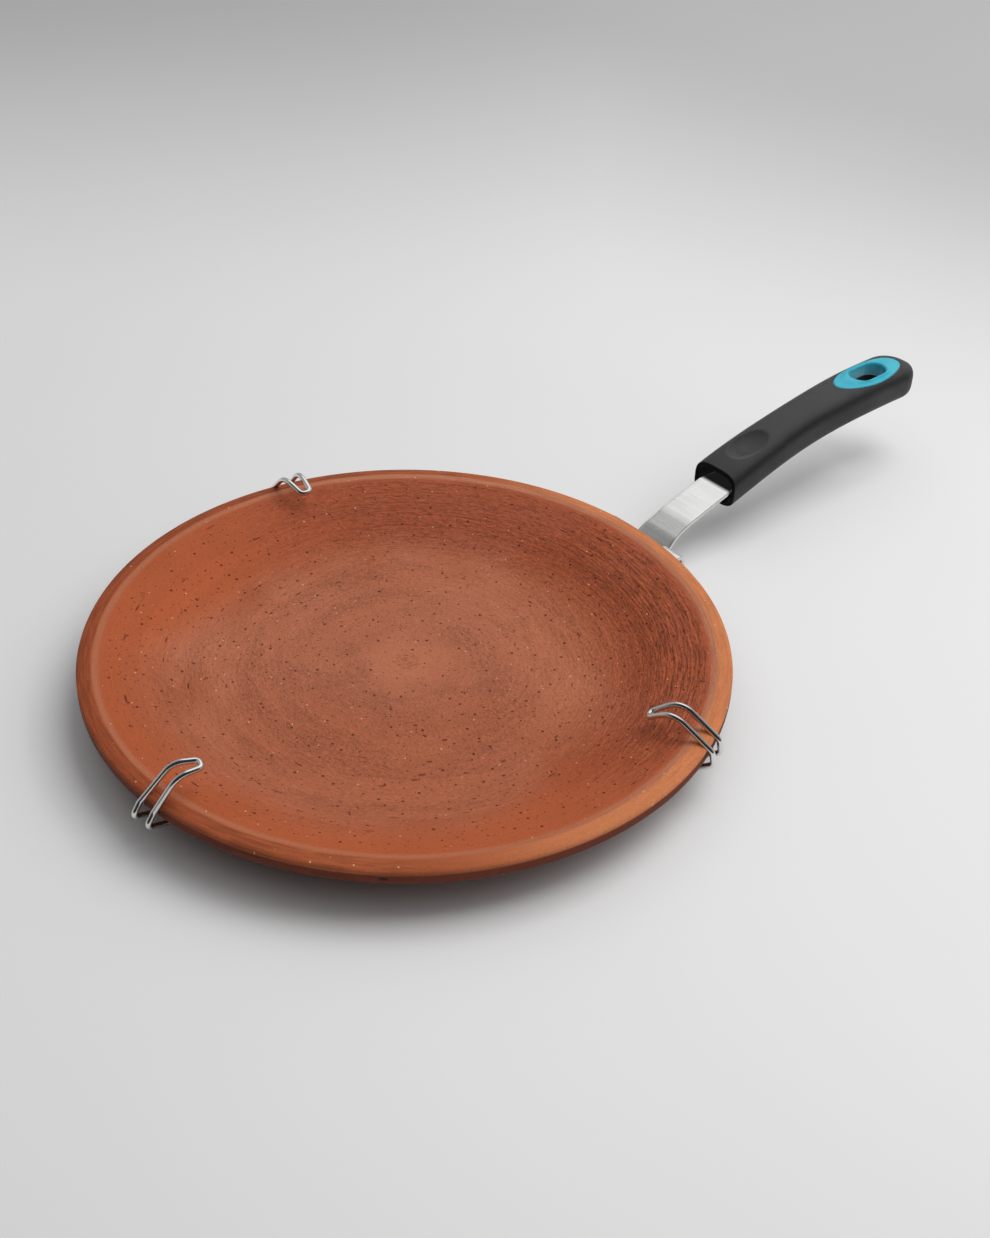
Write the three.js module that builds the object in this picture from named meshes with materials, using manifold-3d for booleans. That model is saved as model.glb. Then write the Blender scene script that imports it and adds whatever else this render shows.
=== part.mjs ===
// Clay tawa: a wheel-thrown terracotta pan held in a sprung wire cradle with a strap handle.
// Millimetres, +Z up. The origin is on the pan's axis, at the plane it stands on.
// +X runs along the handle.
import * as THREE from 'three';
import { mergeVertices } from 'three/addons/utils/BufferGeometryUtils.js';
import Module from 'manifold-3d';

const wasm = await Module();
wasm.setup();

// General clearances
const SEAT_GAP = 0.3;

// Clay pan
const PAN_RADIUS = 140;
const PAN_HEIGHT = 27.2;
const RIM_WIDTH = 8.4;
const RIM_FALL = 5.6;
const RIM_SIDE = 2.2;
const RIM_UNDER_ROUND = 3;
const FLOOR_DEPTH = 13.8;
const FLOOR_HUMP = 1;
const FLOOR_RADIUS = 86;
const HUMP_RADIUS = 43;
const HUMP_SHARE = 0.55;
const WALL_SHOULDER_REACH = 19;
const WALL_SHOULDER_DROP = 4.2;
const BASE_RADIUS = 56;
const CONE_INNER_RADIUS = 84;
const CONE_INNER_HEIGHT = 4;
const PAN_SEGMENTS = 72;

// Wire cradle
const WIRE_DIAMETER = 2;
const WIRE_SIDES = 8;
const RING_RADIUS = 85;
const RING_WIRE_DIAMETER = 2.4;
const CLIP_SPACING = 8.5;
const CLIP_NOSE_SPACING = 4.8;
const CLIP_UNDER_SLACK = 1.6;
const APEX_BEND = 4;
const OUTER_BEND = 2.6;
const LOWER_BEND = 3;
const UNDER_BEND = 6;
const WIRE_STEP_SHARE = 1.5;
const LONGEST_BEND_SHARE = 0.49;

// Each clip is pushed on by hand, so its turn about the pan, its lean and its bends are its own.
// Bends are given by how far they lie outside the pan's edge and above its rim.
const CLIPS = {
  back: {
    turn: 77,
    lean: 8.3,
    lower: { out: 3.6, up: -9.4 },
    outer: { out: 2.9, up: -5.1 },
    apex: { out: -9.3, up: 8.8 },
    nose: { out: -22.5, up: 5.5 },
  },
  front: {
    turn: 186.2,
    lean: -25,
    lower: { out: 6.4, up: -10 },
    outer: { out: 2.3, up: -4.8 },
    apex: { out: -10.1, up: 10.8 },
    nose: { out: -20, up: 10.7 },
  },
  right: {
    turn: -67.7,
    lean: -1.4,
    lower: { out: 3.6, up: -9.4 },
    outer: { out: 2.3, up: -3.2 },
    apex: { out: -16, up: 9.7 },
    nose: { out: -27.5, up: 1.3 },
  },
};

// Handle arm: a wire yoke from the ring to the bracket
const ARM_SPACING = 34;
const ARM_CORNER = 6;
const ARM_WIRE_DIAMETER = 2.4;

// Bracket: an angle of sheet steel outside the rim
const SHEET = 2;
const BRACKET_WIDTH = 46;
const BRACKET_REACH = 11.6;
const BRACKET_TOP_DROP = 9.5;
const BRACKET_LIP = 11;
const BRACKET_BEND = 3.2;
const BRACKET_CORNER = 3;

// Strap handle
const STRAP_WIDTH = 18.8;
const STRAP_FOOT_WIDTH = 36;
const STRAP_FOOT_HEIGHT = 6.4;
const STRAP_FLARE = 3;
const STRAP_BEND = 5;
const STRAP_BEND_DROP = 12.2;
const STRAP_KNEE_REACH = 8;
const STRAP_KNEE_DROP = 5.2;
const STRAP_KNEE_BEND = 12;
const STRAP_MOUTH_DROP = 0.4;
const STRAP_MOUTH_BEND = 60;
const STRAP_TANG_INSET = 66;
const STRAP_TANG_DROP = 1;
const STRAP_FOOT_CORNER = 1;
const TANG_WIDTH = 14;
const TANG_TAPER = 9;

// Rivets through the strap's foot and the bracket's lip
const RIVET_SPACING = 27;
const RIVET_DIAMETER = 3.4;
const RIVET_HEAD_DIAMETER = 5.6;
const RIVET_HEAD_HEIGHT = 1.6;
const RIVET_TAIL_DIAMETER = 5;
const RIVET_TAIL_HEIGHT = 1.4;
const RIVET_EDGE = 3.3;
const RIVET_DOME_SHARE = 0.9;

// Grip
const GRIP_FROM_BRACKET = 42.6;
const GRIP_LENGTH = 147;
const GRIP_MOUTH_HEIGHT = 18.2;
const GRIP_WIDTH = 26.3;
const GRIP_MOUTH_FLOOR = 5.9;
const GRIP_ARCH = 15.5;
const GRIP_CREST_SHARE = 0.74;
const GRIP_END_DROP = 1.3;
const GRIP_HEIGHT = 18.2;
const GRIP_WAIST = 1.2;
const GRIP_WAIST_SHARE = 0.8;
const GRIP_TOP_SQUARENESS = 3.2;
const GRIP_FLOOR_SQUARENESS = 3.8;
const GRIP_EDGE_ROUND = 1.2;
const GRIP_END_ROUND = 15;
const GRIP_END_THICKNESS_SHARE = 0.45;
const GRIP_CAP_TURN = 0.98;
const GRIP_MOUTH_WALL = 2;
const GRIP_MOUTH_DEPTH = 20;
const DIMPLE_FROM_MOUTH = 22.8;
const DIMPLE_LENGTH = 26;
const DIMPLE_WIDTH = 17;
const DIMPLE_DEPTH = 2.1;
const DIMPLE_FLATNESS = 3;

// Hang hole and its lining
const HANG_FROM_END = 33.2;
const HANG_LENGTH = 23;
const HANG_WIDTH = 12;
const LINING_FLANGE_LENGTH = 49;
const LINING_FLANGE_WIDTH = 20;
const LINING_FLANGE_THICKNESS = 2;
const LINING_WALL = 1.8;
const LINING_DEPTH = 7;

// Grip screw
const SCREW_TANG_SHARE = 0.7;
const SCREW_DIAMETER = 3.6;
const SCREW_HEAD_DIAMETER = 7;
const SCREW_HEAD_HEIGHT = 1.8;
const SCREW_WALL = 1;
const SCREW_PROUD = 2;

// Fineness of the mesh, in counts
const SPLINE_POINTS = 12;
const RIM_POINTS = 6;
const BASE_POINTS = 4;
const SHEET_ARC_POINTS = 6;
const OVAL_POINTS = 12;
const HOLE_SIDES = 16;
const SCREW_SIDES = 20;
const RIVET_SIDES = 14;
const RIVET_DOME_POINTS = 4;
const STRAP_STEPS = 44;
const GRIP_SIDES = 28;
const GRIP_EDGE_RINGS = 2;
const GRIP_BODY_RINGS = 15;
const GRIP_CAP_RINGS = 6;
const HOLLOW_RINGS = 2;
const SCOOP_SIDES = 24;

// Materials
const clay = new THREE.MeshStandardMaterial({ color: 0xb3603c, roughness: 0.85, metalness: 0 });
const polishedSteel = new THREE.MeshStandardMaterial({ color: 0xd2d2d0, roughness: 0.15, metalness: 1 });
const brushedSteel = new THREE.MeshStandardMaterial({ color: 0xc8c8c6, roughness: 0.35, metalness: 1 });
const softTouch = new THREE.MeshStandardMaterial({ color: 0x2a2a2b, roughness: 0.65, metalness: 0 });
const blueLining = new THREE.MeshStandardMaterial({ color: 0x2aa6c4, roughness: 0.4, metalness: 0 });

const part = new THREE.Group();

function addPiece(name, geometry, material) {
  const mesh = new THREE.Mesh(geometry, material);
  mesh.name = name;
  part.add(mesh);
  return mesh;
}

// A closed geometry as a solid that can be joined and cut
function solidOf(geometry) {
  const bare = geometry.index ? geometry.toNonIndexed() : geometry.clone();
  bare.deleteAttribute('normal');
  bare.deleteAttribute('uv');
  const merged = mergeVertices(bare, 1e-4);
  const mesh = new wasm.Mesh({
    numProp: 3,
    vertProperties: new Float32Array(merged.attributes.position.array),
    triVerts: new Uint32Array(merged.index.array),
  });
  return new wasm.Manifold(mesh);
}

function geometryOf(solid) {
  const mesh = solid.getMesh();
  const geometry = new THREE.BufferGeometry();
  geometry.setAttribute('position', new THREE.BufferAttribute(new Float32Array(mesh.vertProperties), 3));
  geometry.setIndex(new THREE.BufferAttribute(new Uint32Array(mesh.triVerts), 1));
  geometry.computeVertexNormals();
  return geometry;
}

// Clay pan: the outline of half a section, revolved about Z

const rimEdge = PAN_RADIUS - RIM_WIDTH;
const rimSideTop = PAN_HEIGHT - RIM_FALL;
const underRoundCentre = new THREE.Vector2(PAN_RADIUS - RIM_UNDER_ROUND, rimSideTop - RIM_SIDE);
// The underside is a plain cone between the curved base and the rounded lower edge of the rim
const coneOuter = new THREE.Vector2(underRoundCentre.x, underRoundCentre.y - RIM_UNDER_ROUND);
const coneSlope = (coneOuter.y - CONE_INNER_HEIGHT) / (coneOuter.x - CONE_INNER_RADIUS);

function undersideHeight(radius) {
  return CONE_INNER_HEIGHT + (radius - CONE_INNER_RADIUS) * coneSlope;
}

function panGeometry() {
  const floorHeight = PAN_HEIGHT - FLOOR_DEPTH;
  const inside = new THREE.SplineCurve([
    new THREE.Vector2(0, floorHeight + FLOOR_HUMP),
    new THREE.Vector2(HUMP_RADIUS, floorHeight + FLOOR_HUMP * HUMP_SHARE),
    new THREE.Vector2(FLOOR_RADIUS, floorHeight),
    new THREE.Vector2(rimEdge - WALL_SHOULDER_REACH, PAN_HEIGHT - WALL_SHOULDER_DROP),
    new THREE.Vector2(rimEdge, PAN_HEIGHT),
  ]);
  const outline = inside.getPoints(SPLINE_POINTS);
  outline[0].x = 0;
  // The rim falls away outward from its ridge to an upright side and turns under below it
  const { x, y } = underRoundCentre;
  const fall = new THREE.EllipseCurve(rimEdge, rimSideTop, RIM_WIDTH, RIM_FALL, Math.PI / 2, 0, true);
  const turnUnder = new THREE.EllipseCurve(x, y, RIM_UNDER_ROUND, RIM_UNDER_ROUND, 0, -Math.PI / 2, true);
  outline.push(...fall.getPoints(RIM_POINTS).slice(1), ...turnUnder.getPoints(RIM_POINTS));
  const under = new THREE.QuadraticBezierCurve(
    new THREE.Vector2(CONE_INNER_RADIUS, CONE_INNER_HEIGHT),
    new THREE.Vector2(CONE_INNER_RADIUS - CONE_INNER_HEIGHT / coneSlope, 0),
    new THREE.Vector2(BASE_RADIUS, 0),
  );
  outline.push(...under.getPoints(BASE_POINTS), new THREE.Vector2(0, 0));
  // LatheGeometry faces outward when its outline climbs, so the outline runs from the base up
  return new THREE.LatheGeometry(outline.reverse(), PAN_SEGMENTS).rotateX(Math.PI / 2);
}

addPiece('clay_pan', panGeometry(), clay);

// Bent wire: straight runs joined by rounded bends, swept with a round section

function bentPath(points, bends) {
  const path = new THREE.CurvePath();
  let from = points[0];
  for (let i = 1; i < points.length - 1; i += 1) {
    const corner = points[i];
    const back = points[i - 1].clone().sub(corner);
    const ahead = points[i + 1].clone().sub(corner);
    const turn = Math.PI - back.angleTo(ahead);
    const room = Math.min(back.length(), ahead.length()) * LONGEST_BEND_SHARE;
    const reach = Math.min(bends[i - 1] * Math.tan(turn / 2), room);
    const start = corner.clone().addScaledVector(back.normalize(), reach);
    const end = corner.clone().addScaledVector(ahead.normalize(), reach);
    path.add(new THREE.LineCurve3(from, start));
    path.add(new THREE.QuadraticBezierCurve3(start, corner, end));
    from = end;
  }
  path.add(new THREE.LineCurve3(from, points[points.length - 1]));
  return path;
}

function wireGeometry(path, diameter) {
  const section = new THREE.Shape();
  section.absarc(0, 0, diameter / 2, 0, Math.PI * 2, false);
  const steps = Math.ceil(path.getLength() / (WIRE_STEP_SHARE * diameter));
  return new THREE.ExtrudeGeometry(section, {
    extrudePath: path,
    steps,
    curveSegments: WIRE_SIDES / 2,
    bevelEnabled: false,
  });
}

// Ring under the pan that gathers the clips and the handle arm
const ringDrop = (RING_WIRE_DIAMETER / 2 + SEAT_GAP) / Math.cos(Math.atan(coneSlope));
const ringHeight = undersideHeight(RING_RADIUS) - ringDrop;
const ring = new THREE.TorusGeometry(RING_RADIUS, RING_WIRE_DIAMETER / 2, WIRE_SIDES, PAN_SEGMENTS);
ring.translate(0, 0, ringHeight);
addPiece('cradle_ring', ring, polishedSteel);

// Height of a wire that lies along the underside
function wireUnder(radius, diameter) {
  return undersideHeight(radius) - (diameter / 2 + SEAT_GAP) / Math.cos(Math.atan(coneSlope));
}

// Spring clip: one hairpin of wire. Its closed nose reaches over the rim and both legs hook under it.
function clipGeometry({ lean, lower, outer, apex, nose }) {
  const legEnd = RING_RADIUS + RING_WIRE_DIAMETER / 2 + SEAT_GAP;
  const underEnd = coneOuter.x;
  const pivot = new THREE.Vector3(PAN_RADIUS + outer.out, 0, 0);
  const panAxis = new THREE.Vector3(0, 0, 1);

  // The corners of one leg. Above the outer bend the wire leans about that bend.
  function leg(side) {
    const at = (bend, spacing) =>
      new THREE.Vector3(PAN_RADIUS + bend.out, (side * spacing) / 2, PAN_HEIGHT + bend.up);
    const leant = (bend, spacing) =>
      at(bend, spacing).sub(pivot).applyAxisAngle(panAxis, THREE.MathUtils.degToRad(lean)).add(pivot);
    const across = (side * CLIP_SPACING) / 2;
    return [
      new THREE.Vector3(legEnd, across, wireUnder(legEnd, WIRE_DIAMETER)),
      new THREE.Vector3(underEnd, across, wireUnder(underEnd, WIRE_DIAMETER) - CLIP_UNDER_SLACK),
      at(lower, CLIP_SPACING),
      at(outer, CLIP_SPACING),
      leant(apex, CLIP_SPACING),
      leant(nose, CLIP_NOSE_SPACING),
    ];
  }

  const near = leg(1);
  const far = leg(-1).reverse();
  const noseBend = CLIP_NOSE_SPACING / 2;
  const bends = [UNDER_BEND, LOWER_BEND, OUTER_BEND, APEX_BEND, noseBend];
  const path = bentPath([...near, ...far], [...bends, ...bends.slice().reverse()]);
  return wireGeometry(path, WIRE_DIAMETER);
}

for (const [side, bends] of Object.entries(CLIPS)) {
  const clip = addPiece(`clip_wire_${side}`, clipGeometry(bends), polishedSteel);
  clip.rotation.z = THREE.MathUtils.degToRad(bends.turn);
}

// Bracket outside the rim: a top flange that tucks under the rim and a lip that turns down

const lipOuter = PAN_RADIUS + BRACKET_REACH;
const lipInner = lipOuter - SHEET;
const bracketTop = PAN_HEIGHT - BRACKET_TOP_DROP;
const bracketUnder = bracketTop - SHEET;
const lipBottom = bracketTop - BRACKET_LIP;
const bracketInner = PAN_RADIUS + SEAT_GAP;

// A side outline in X and Z, drawn out to a width across Y
function acrossWidth(shape, width, curveSegments) {
  const geometry = new THREE.ExtrudeGeometry(shape, { depth: width, bevelEnabled: false, curveSegments });
  return geometry.rotateX(Math.PI / 2).translate(0, width / 2, 0);
}

// An outline in X and Y, drawn up from one height to another
function upright(shape, low, high, curveSegments) {
  const geometry = new THREE.ExtrudeGeometry(shape, {
    depth: high - low,
    bevelEnabled: false,
    curveSegments,
  });
  return geometry.translate(0, 0, low);
}

const rivetHeight = lipBottom + RIVET_EDGE;

// A round bar along X, used for the rivet holes
function barAlongX(diameter, from, to, y, z) {
  const bar = new THREE.CylinderGeometry(diameter / 2, diameter / 2, to - from, HOLE_SIDES);
  return solidOf(bar.rotateZ(Math.PI / 2).translate((from + to) / 2, y, z));
}

function cutRivetHoles(solid) {
  let cut = solid;
  for (const side of [-1, 1]) {
    const y = (side * RIVET_SPACING) / 2;
    const reach = 2 * SHEET;
    const diameter = RIVET_DIAMETER + 2 * SEAT_GAP;
    const hole = barAlongX(diameter, lipInner - reach, lipOuter + 2 * reach, y, rivetHeight);
    cut = cut.subtract(hole);
  }
  return cut;
}

function bracketGeometry() {
  const bend = new THREE.Vector2(lipOuter - BRACKET_BEND, bracketTop - BRACKET_BEND);
  const angle = new THREE.Shape();
  angle.moveTo(bracketInner, bracketUnder);
  angle.absarc(bend.x, bend.y, BRACKET_BEND - SHEET, Math.PI / 2, 0, true);
  angle.lineTo(lipInner, lipBottom);
  angle.lineTo(lipOuter, lipBottom);
  angle.absarc(bend.x, bend.y, BRACKET_BEND, 0, Math.PI / 2, false);
  angle.lineTo(bracketInner, bracketTop);
  const sheet = solidOf(acrossWidth(angle, BRACKET_WIDTH, SHEET_ARC_POINTS));
  // The lip's two lower corners are rounded
  const face = new THREE.Shape();
  const half = BRACKET_WIDTH / 2;
  const cornerY = half - BRACKET_CORNER;
  const cornerZ = lipBottom + BRACKET_CORNER;
  face.moveTo(half, bracketTop + SHEET);
  face.lineTo(-half, bracketTop + SHEET);
  face.absarc(-cornerY, cornerZ, BRACKET_CORNER, Math.PI, Math.PI * 1.5, false);
  face.absarc(cornerY, cornerZ, BRACKET_CORNER, Math.PI * 1.5, Math.PI * 2, false);
  return geometryOf(cutRivetHoles(sheet.intersect(alongX(face, 0, lipOuter + SHEET))));
}

// An outline in Y and Z, drawn out along X
function alongX(shape, from, to) {
  const geometry = new THREE.ExtrudeGeometry(shape, {
    depth: to - from,
    bevelEnabled: false,
    curveSegments: SHEET_ARC_POINTS,
  });
  geometry.rotateX(Math.PI / 2).rotateZ(Math.PI / 2).translate(from, 0, 0);
  return solidOf(geometry);
}

addPiece('handle_bracket', bracketGeometry(), brushedSteel);

// Handle arm: a wire yoke whose legs start at the ring and whose closed end lies under the bracket's flange
function armGeometry() {
  const half = ARM_SPACING / 2;
  const endHeight = bracketUnder - SEAT_GAP - ARM_WIRE_DIAMETER / 2;
  const startRadius = RING_RADIUS + RING_WIRE_DIAMETER / 2 + SEAT_GAP;
  const startX = Math.sqrt(startRadius * startRadius - half * half) + SEAT_GAP;
  const bendX = Math.sqrt(coneOuter.x * coneOuter.x - half * half);
  const endX = lipInner - RIVET_TAIL_HEIGHT - ARM_WIRE_DIAMETER / 2 - 2 * SEAT_GAP;
  const leg = [
    [startX, wireUnder(startRadius, ARM_WIRE_DIAMETER)],
    [bendX, Math.min(wireUnder(coneOuter.x, ARM_WIRE_DIAMETER), endHeight)],
    [endX, endHeight],
  ];
  const near = leg.map(([x, z]) => new THREE.Vector3(x, half, z));
  const far = leg.map(([x, z]) => new THREE.Vector3(x, -half, z)).reverse();
  const path = bentPath([...near, ...far], [UNDER_BEND, ARM_CORNER, ARM_CORNER, UNDER_BEND]);
  return wireGeometry(path, ARM_WIRE_DIAMETER);
}

addPiece('handle_arm', armGeometry(), polishedSteel);

// Grip outlines: the top, the bottom and the half width at each place along it

const gripStart = lipOuter + GRIP_FROM_BRACKET;
const gripEnd = gripStart + GRIP_LENGTH;
const strapInner = lipOuter + SEAT_GAP;
const strapMiddle = strapInner + SHEET / 2;
const strapMouth = new THREE.Vector2(gripStart, PAN_HEIGHT - STRAP_MOUTH_DROP);
const gripFloor = strapMouth.y - SHEET / 2 - SEAT_GAP - GRIP_MOUTH_FLOOR;
const gripMouthTop = gripFloor + GRIP_MOUTH_HEIGHT;

// How far the grip has risen at a share of its length: an arch that crests and then falls a little
function gripRise(share) {
  const fromCrest = share - GRIP_CREST_SHARE;
  if (fromCrest < 0) {
    return GRIP_ARCH * (1 - (fromCrest / GRIP_CREST_SHARE) ** 2);
  }
  return GRIP_ARCH - GRIP_END_DROP * (fromCrest / (1 - GRIP_CREST_SHARE)) ** 2;
}

function gripSection(x) {
  const share = (x - gripStart) / GRIP_LENGTH;
  const height = THREE.MathUtils.lerp(GRIP_MOUTH_HEIGHT, GRIP_HEIGHT, Math.min(1, share * 2));
  const waist = GRIP_WAIST * Math.sin(Math.PI * Math.min(1, share / GRIP_WAIST_SHARE)) ** 2;
  const toEnd = Math.max(0, (x - (gripEnd - GRIP_END_ROUND)) / GRIP_END_ROUND);
  const taper = Math.sqrt(Math.max(0, 1 - toEnd * toEnd));
  return {
    middle: gripFloor + GRIP_MOUTH_HEIGHT / 2 + gripRise(share),
    halfHeight: (height / 2) * THREE.MathUtils.lerp(GRIP_END_THICKNESS_SHARE, 1, taper),
    halfWidth: (GRIP_WIDTH / 2 - waist) * taper,
  };
}

// Skin through a row of rings, closed by a flat fan at each end
function loft(rings) {
  const sides = rings[0].length;
  const positions = rings.flat().flatMap((p) => [p.x, p.y, p.z]);
  const indices = [];
  for (let i = 0; i < rings.length - 1; i += 1) {
    for (let j = 0; j < sides; j += 1) {
      const a = i * sides + j;
      const b = i * sides + ((j + 1) % sides);
      indices.push(a, b, a + sides, b, b + sides, a + sides);
    }
  }
  const last = (rings.length - 1) * sides;
  for (let j = 1; j < sides - 1; j += 1) {
    indices.push(0, j + 1, j);
    indices.push(last, last + j, last + j + 1);
  }
  const geometry = new THREE.BufferGeometry();
  geometry.setAttribute('position', new THREE.Float32BufferAttribute(positions, 3));
  geometry.setIndex(indices);
  return geometry;
}

// One ring of the grip: a rounded D, flatter below than above
function gripRing(x, inset) {
  const { middle, halfHeight, halfWidth } = gripSection(x);
  const ringPoints = [];
  for (let j = 0; j < GRIP_SIDES; j += 1) {
    const angle = (j / GRIP_SIDES) * Math.PI * 2;
    const squareness = Math.sin(angle) < 0 ? GRIP_FLOOR_SQUARENESS : GRIP_TOP_SQUARENESS;
    const across = Math.sign(Math.cos(angle)) * Math.abs(Math.cos(angle)) ** (2 / squareness);
    const up = Math.sign(Math.sin(angle)) * Math.abs(Math.sin(angle)) ** (2 / squareness);
    ringPoints.push(new THREE.Vector3(x, across * (halfWidth - inset), middle + up * (halfHeight - inset)));
  }
  return ringPoints;
}

function gripBody() {
  const rings = [];
  for (let i = 0; i < GRIP_EDGE_RINGS; i += 1) {
    const turn = (i / GRIP_EDGE_RINGS) * (Math.PI / 2);
    const inset = GRIP_EDGE_ROUND * (1 - Math.sin(turn));
    rings.push(gripRing(gripStart + GRIP_EDGE_ROUND * (1 - Math.cos(turn)), inset));
  }
  const straightEnd = gripEnd - GRIP_END_ROUND;
  for (let i = 0; i <= GRIP_BODY_RINGS; i += 1) {
    const x = THREE.MathUtils.lerp(gripStart + GRIP_EDGE_ROUND, straightEnd, i / GRIP_BODY_RINGS);
    rings.push(gripRing(x, 0));
  }
  for (let i = 1; i <= GRIP_CAP_RINGS; i += 1) {
    const turn = (i / GRIP_CAP_RINGS) * GRIP_CAP_TURN * (Math.PI / 2);
    rings.push(gripRing(straightEnd + GRIP_END_ROUND * Math.sin(turn), 0));
  }
  return solidOf(loft(rings));
}

const body = gripBody();

// Middle line of the strap in X and Z: up from the foot, out over the bend and on through the grip
const strapTangEnd = gripEnd - STRAP_TANG_INSET;
const strapTangHeight = gripSection(strapTangEnd).middle - STRAP_TANG_DROP;
const strapLine = bentPath(
  [
    new THREE.Vector3(strapMiddle, 0, lipBottom),
    new THREE.Vector3(strapMiddle, 0, PAN_HEIGHT - STRAP_BEND_DROP),
    new THREE.Vector3(strapMiddle + STRAP_KNEE_REACH, 0, PAN_HEIGHT - STRAP_KNEE_DROP),
    new THREE.Vector3(strapMouth.x, 0, strapMouth.y),
    new THREE.Vector3(strapTangEnd, 0, strapTangHeight),
  ],
  [STRAP_BEND, STRAP_KNEE_BEND, STRAP_MOUTH_BEND],
);

// The strap's side outline: its middle line set off to both sides
function strapSide(thickness) {
  const upper = [];
  const lower = [];
  for (let i = 0; i <= STRAP_STEPS; i += 1) {
    const at = strapLine.getPointAt(i / STRAP_STEPS);
    const along = strapLine.getTangentAt(i / STRAP_STEPS);
    const normal = new THREE.Vector2(-along.z, along.x).normalize();
    upper.push(new THREE.Vector2(at.x, at.z).addScaledVector(normal, thickness / 2));
    lower.push(new THREE.Vector2(at.x, at.z).addScaledVector(normal, -thickness / 2));
  }
  return new THREE.Shape([...lower, ...upper.reverse()]);
}

// Front outline of the strap: a wide foot that flares in to the strap's width
function strapFront() {
  const half = STRAP_WIDTH / 2;
  const foot = STRAP_FOOT_WIDTH / 2;
  const footTop = lipBottom + STRAP_FOOT_HEIGHT;
  const top = body.boundingBox().max[2];
  const shape = new THREE.Shape();
  shape.moveTo(half, top);
  shape.lineTo(-half, top);
  shape.absarc(-half - STRAP_FLARE, footTop + STRAP_FLARE, STRAP_FLARE, 0, -Math.PI / 2, true);
  for (const [side, steps] of [[-1, [0, 1, 2, 3]], [1, [3, 2, 1, 0]]]) {
    const corners = [
      [foot - STRAP_FOOT_CORNER, footTop],
      [foot, footTop - STRAP_FOOT_CORNER],
      [foot, lipBottom + STRAP_FOOT_CORNER],
      [foot - STRAP_FOOT_CORNER, lipBottom],
    ];
    for (const step of steps) {
      shape.lineTo(side * corners[step][0], corners[step][1]);
    }
  }
  shape.absarc(half + STRAP_FLARE, footTop + STRAP_FLARE, STRAP_FLARE, -Math.PI / 2, -Math.PI, true);
  return shape;
}

// A round bar along Z, used for the screw and its holes
function barAlongZ(diameter, x, low, high) {
  const bar = new THREE.CylinderGeometry(diameter / 2, diameter / 2, high - low, SCREW_SIDES);
  return solidOf(bar.rotateX(Math.PI / 2).translate(x, 0, (low + high) / 2));
}

// The screw takes its place from the strap: its head seats in the grip below and its tip stands just above
const screwX = THREE.MathUtils.lerp(gripStart, strapTangEnd, SCREW_TANG_SHARE);
const screwStrap = THREE.MathUtils.lerp(strapMouth.y, strapTangHeight, SCREW_TANG_SHARE);
const strapSlope = (strapTangHeight - strapMouth.y) / (strapTangEnd - strapMouth.x);
const strapUnder = screwStrap - SHEET / 2 - SEAT_GAP - (SCREW_HEAD_DIAMETER / 2) * strapSlope;
const screwSeat = strapUnder - SCREW_WALL - SEAT_GAP;
const screwTop = screwStrap + SHEET / 2 + SCREW_PROUD;

// Plan of the strap in X and Y: past the grip's mouth it narrows to a tang
function strapPlan(clearance) {
  const foot = STRAP_FOOT_WIDTH / 2 + clearance;
  const tang = TANG_WIDTH / 2 + clearance;
  const half = STRAP_WIDTH / 2 + clearance;
  const shape = new THREE.Shape();
  shape.moveTo(strapInner - SHEET, -foot);
  shape.lineTo(gripStart - SHEET, -foot);
  shape.lineTo(gripStart, -half);
  shape.lineTo(gripStart + TANG_TAPER, -tang);
  shape.lineTo(gripEnd, -tang);
  shape.lineTo(gripEnd, tang);
  shape.lineTo(gripStart + TANG_TAPER, tang);
  shape.lineTo(gripStart, half);
  shape.lineTo(gripStart - SHEET, foot);
  shape.lineTo(strapInner - SHEET, foot);
  return solidOf(upright(shape, 0, body.boundingBox().max[2]));
}

function strapGeometry() {
  const sheet = solidOf(acrossWidth(strapSide(SHEET), STRAP_FOOT_WIDTH)).intersect(strapPlan(0));
  const outline = alongX(strapFront(), strapInner - SHEET, gripEnd);
  const screwHole = barAlongZ(SCREW_DIAMETER + 2 * SEAT_GAP, screwX, gripFloor - SHEET, screwTop + SHEET);
  return geometryOf(cutRivetHoles(sheet.intersect(outline)).subtract(screwHole));
}

addPiece('handle_strap', strapGeometry(), brushedSteel);

// Rivets: a domed head outside the strap and a flat tail inside the bracket's lip
function rivetGeometry() {
  const outer = lipOuter + SEAT_GAP + SHEET + SEAT_GAP;
  const inner = lipInner - SEAT_GAP;
  const outline = new THREE.Path();
  outline.moveTo(0, inner - RIVET_TAIL_HEIGHT);
  outline.lineTo(RIVET_TAIL_DIAMETER / 2, inner - RIVET_TAIL_HEIGHT);
  outline.lineTo(RIVET_TAIL_DIAMETER / 2, inner);
  outline.lineTo(RIVET_DIAMETER / 2, inner);
  outline.lineTo(RIVET_DIAMETER / 2, outer);
  outline.lineTo(RIVET_HEAD_DIAMETER / 2, outer);
  const dome = new THREE.Vector2(RIVET_HEAD_DIAMETER / 2, outer + RIVET_HEAD_HEIGHT);
  outline.quadraticCurveTo(dome.x * RIVET_DOME_SHARE, dome.y, 0, dome.y);
  const points = outline.getPoints(RIVET_DOME_POINTS);
  points[points.length - 1].x = 0;
  return new THREE.LatheGeometry(points, RIVET_SIDES).rotateZ(-Math.PI / 2);
}

for (const [side, sign] of [['left', 1], ['right', -1]]) {
  const rivet = addPiece(`strap_rivet_${side}`, rivetGeometry(), polishedSteel);
  rivet.position.set(0, (sign * RIVET_SPACING) / 2, rivetHeight);
}

// Hang hole outlines: long rounds, all about one centre
const hangX = gripEnd - HANG_FROM_END;

function longRound(length, width) {
  const reach = (length - width) / 2;
  const shape = new THREE.Shape();
  shape.absarc(hangX + reach, 0, width / 2, -Math.PI / 2, Math.PI / 2, false);
  shape.absarc(hangX - reach, 0, width / 2, Math.PI / 2, Math.PI * 1.5, false);
  return shape;
}

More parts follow.
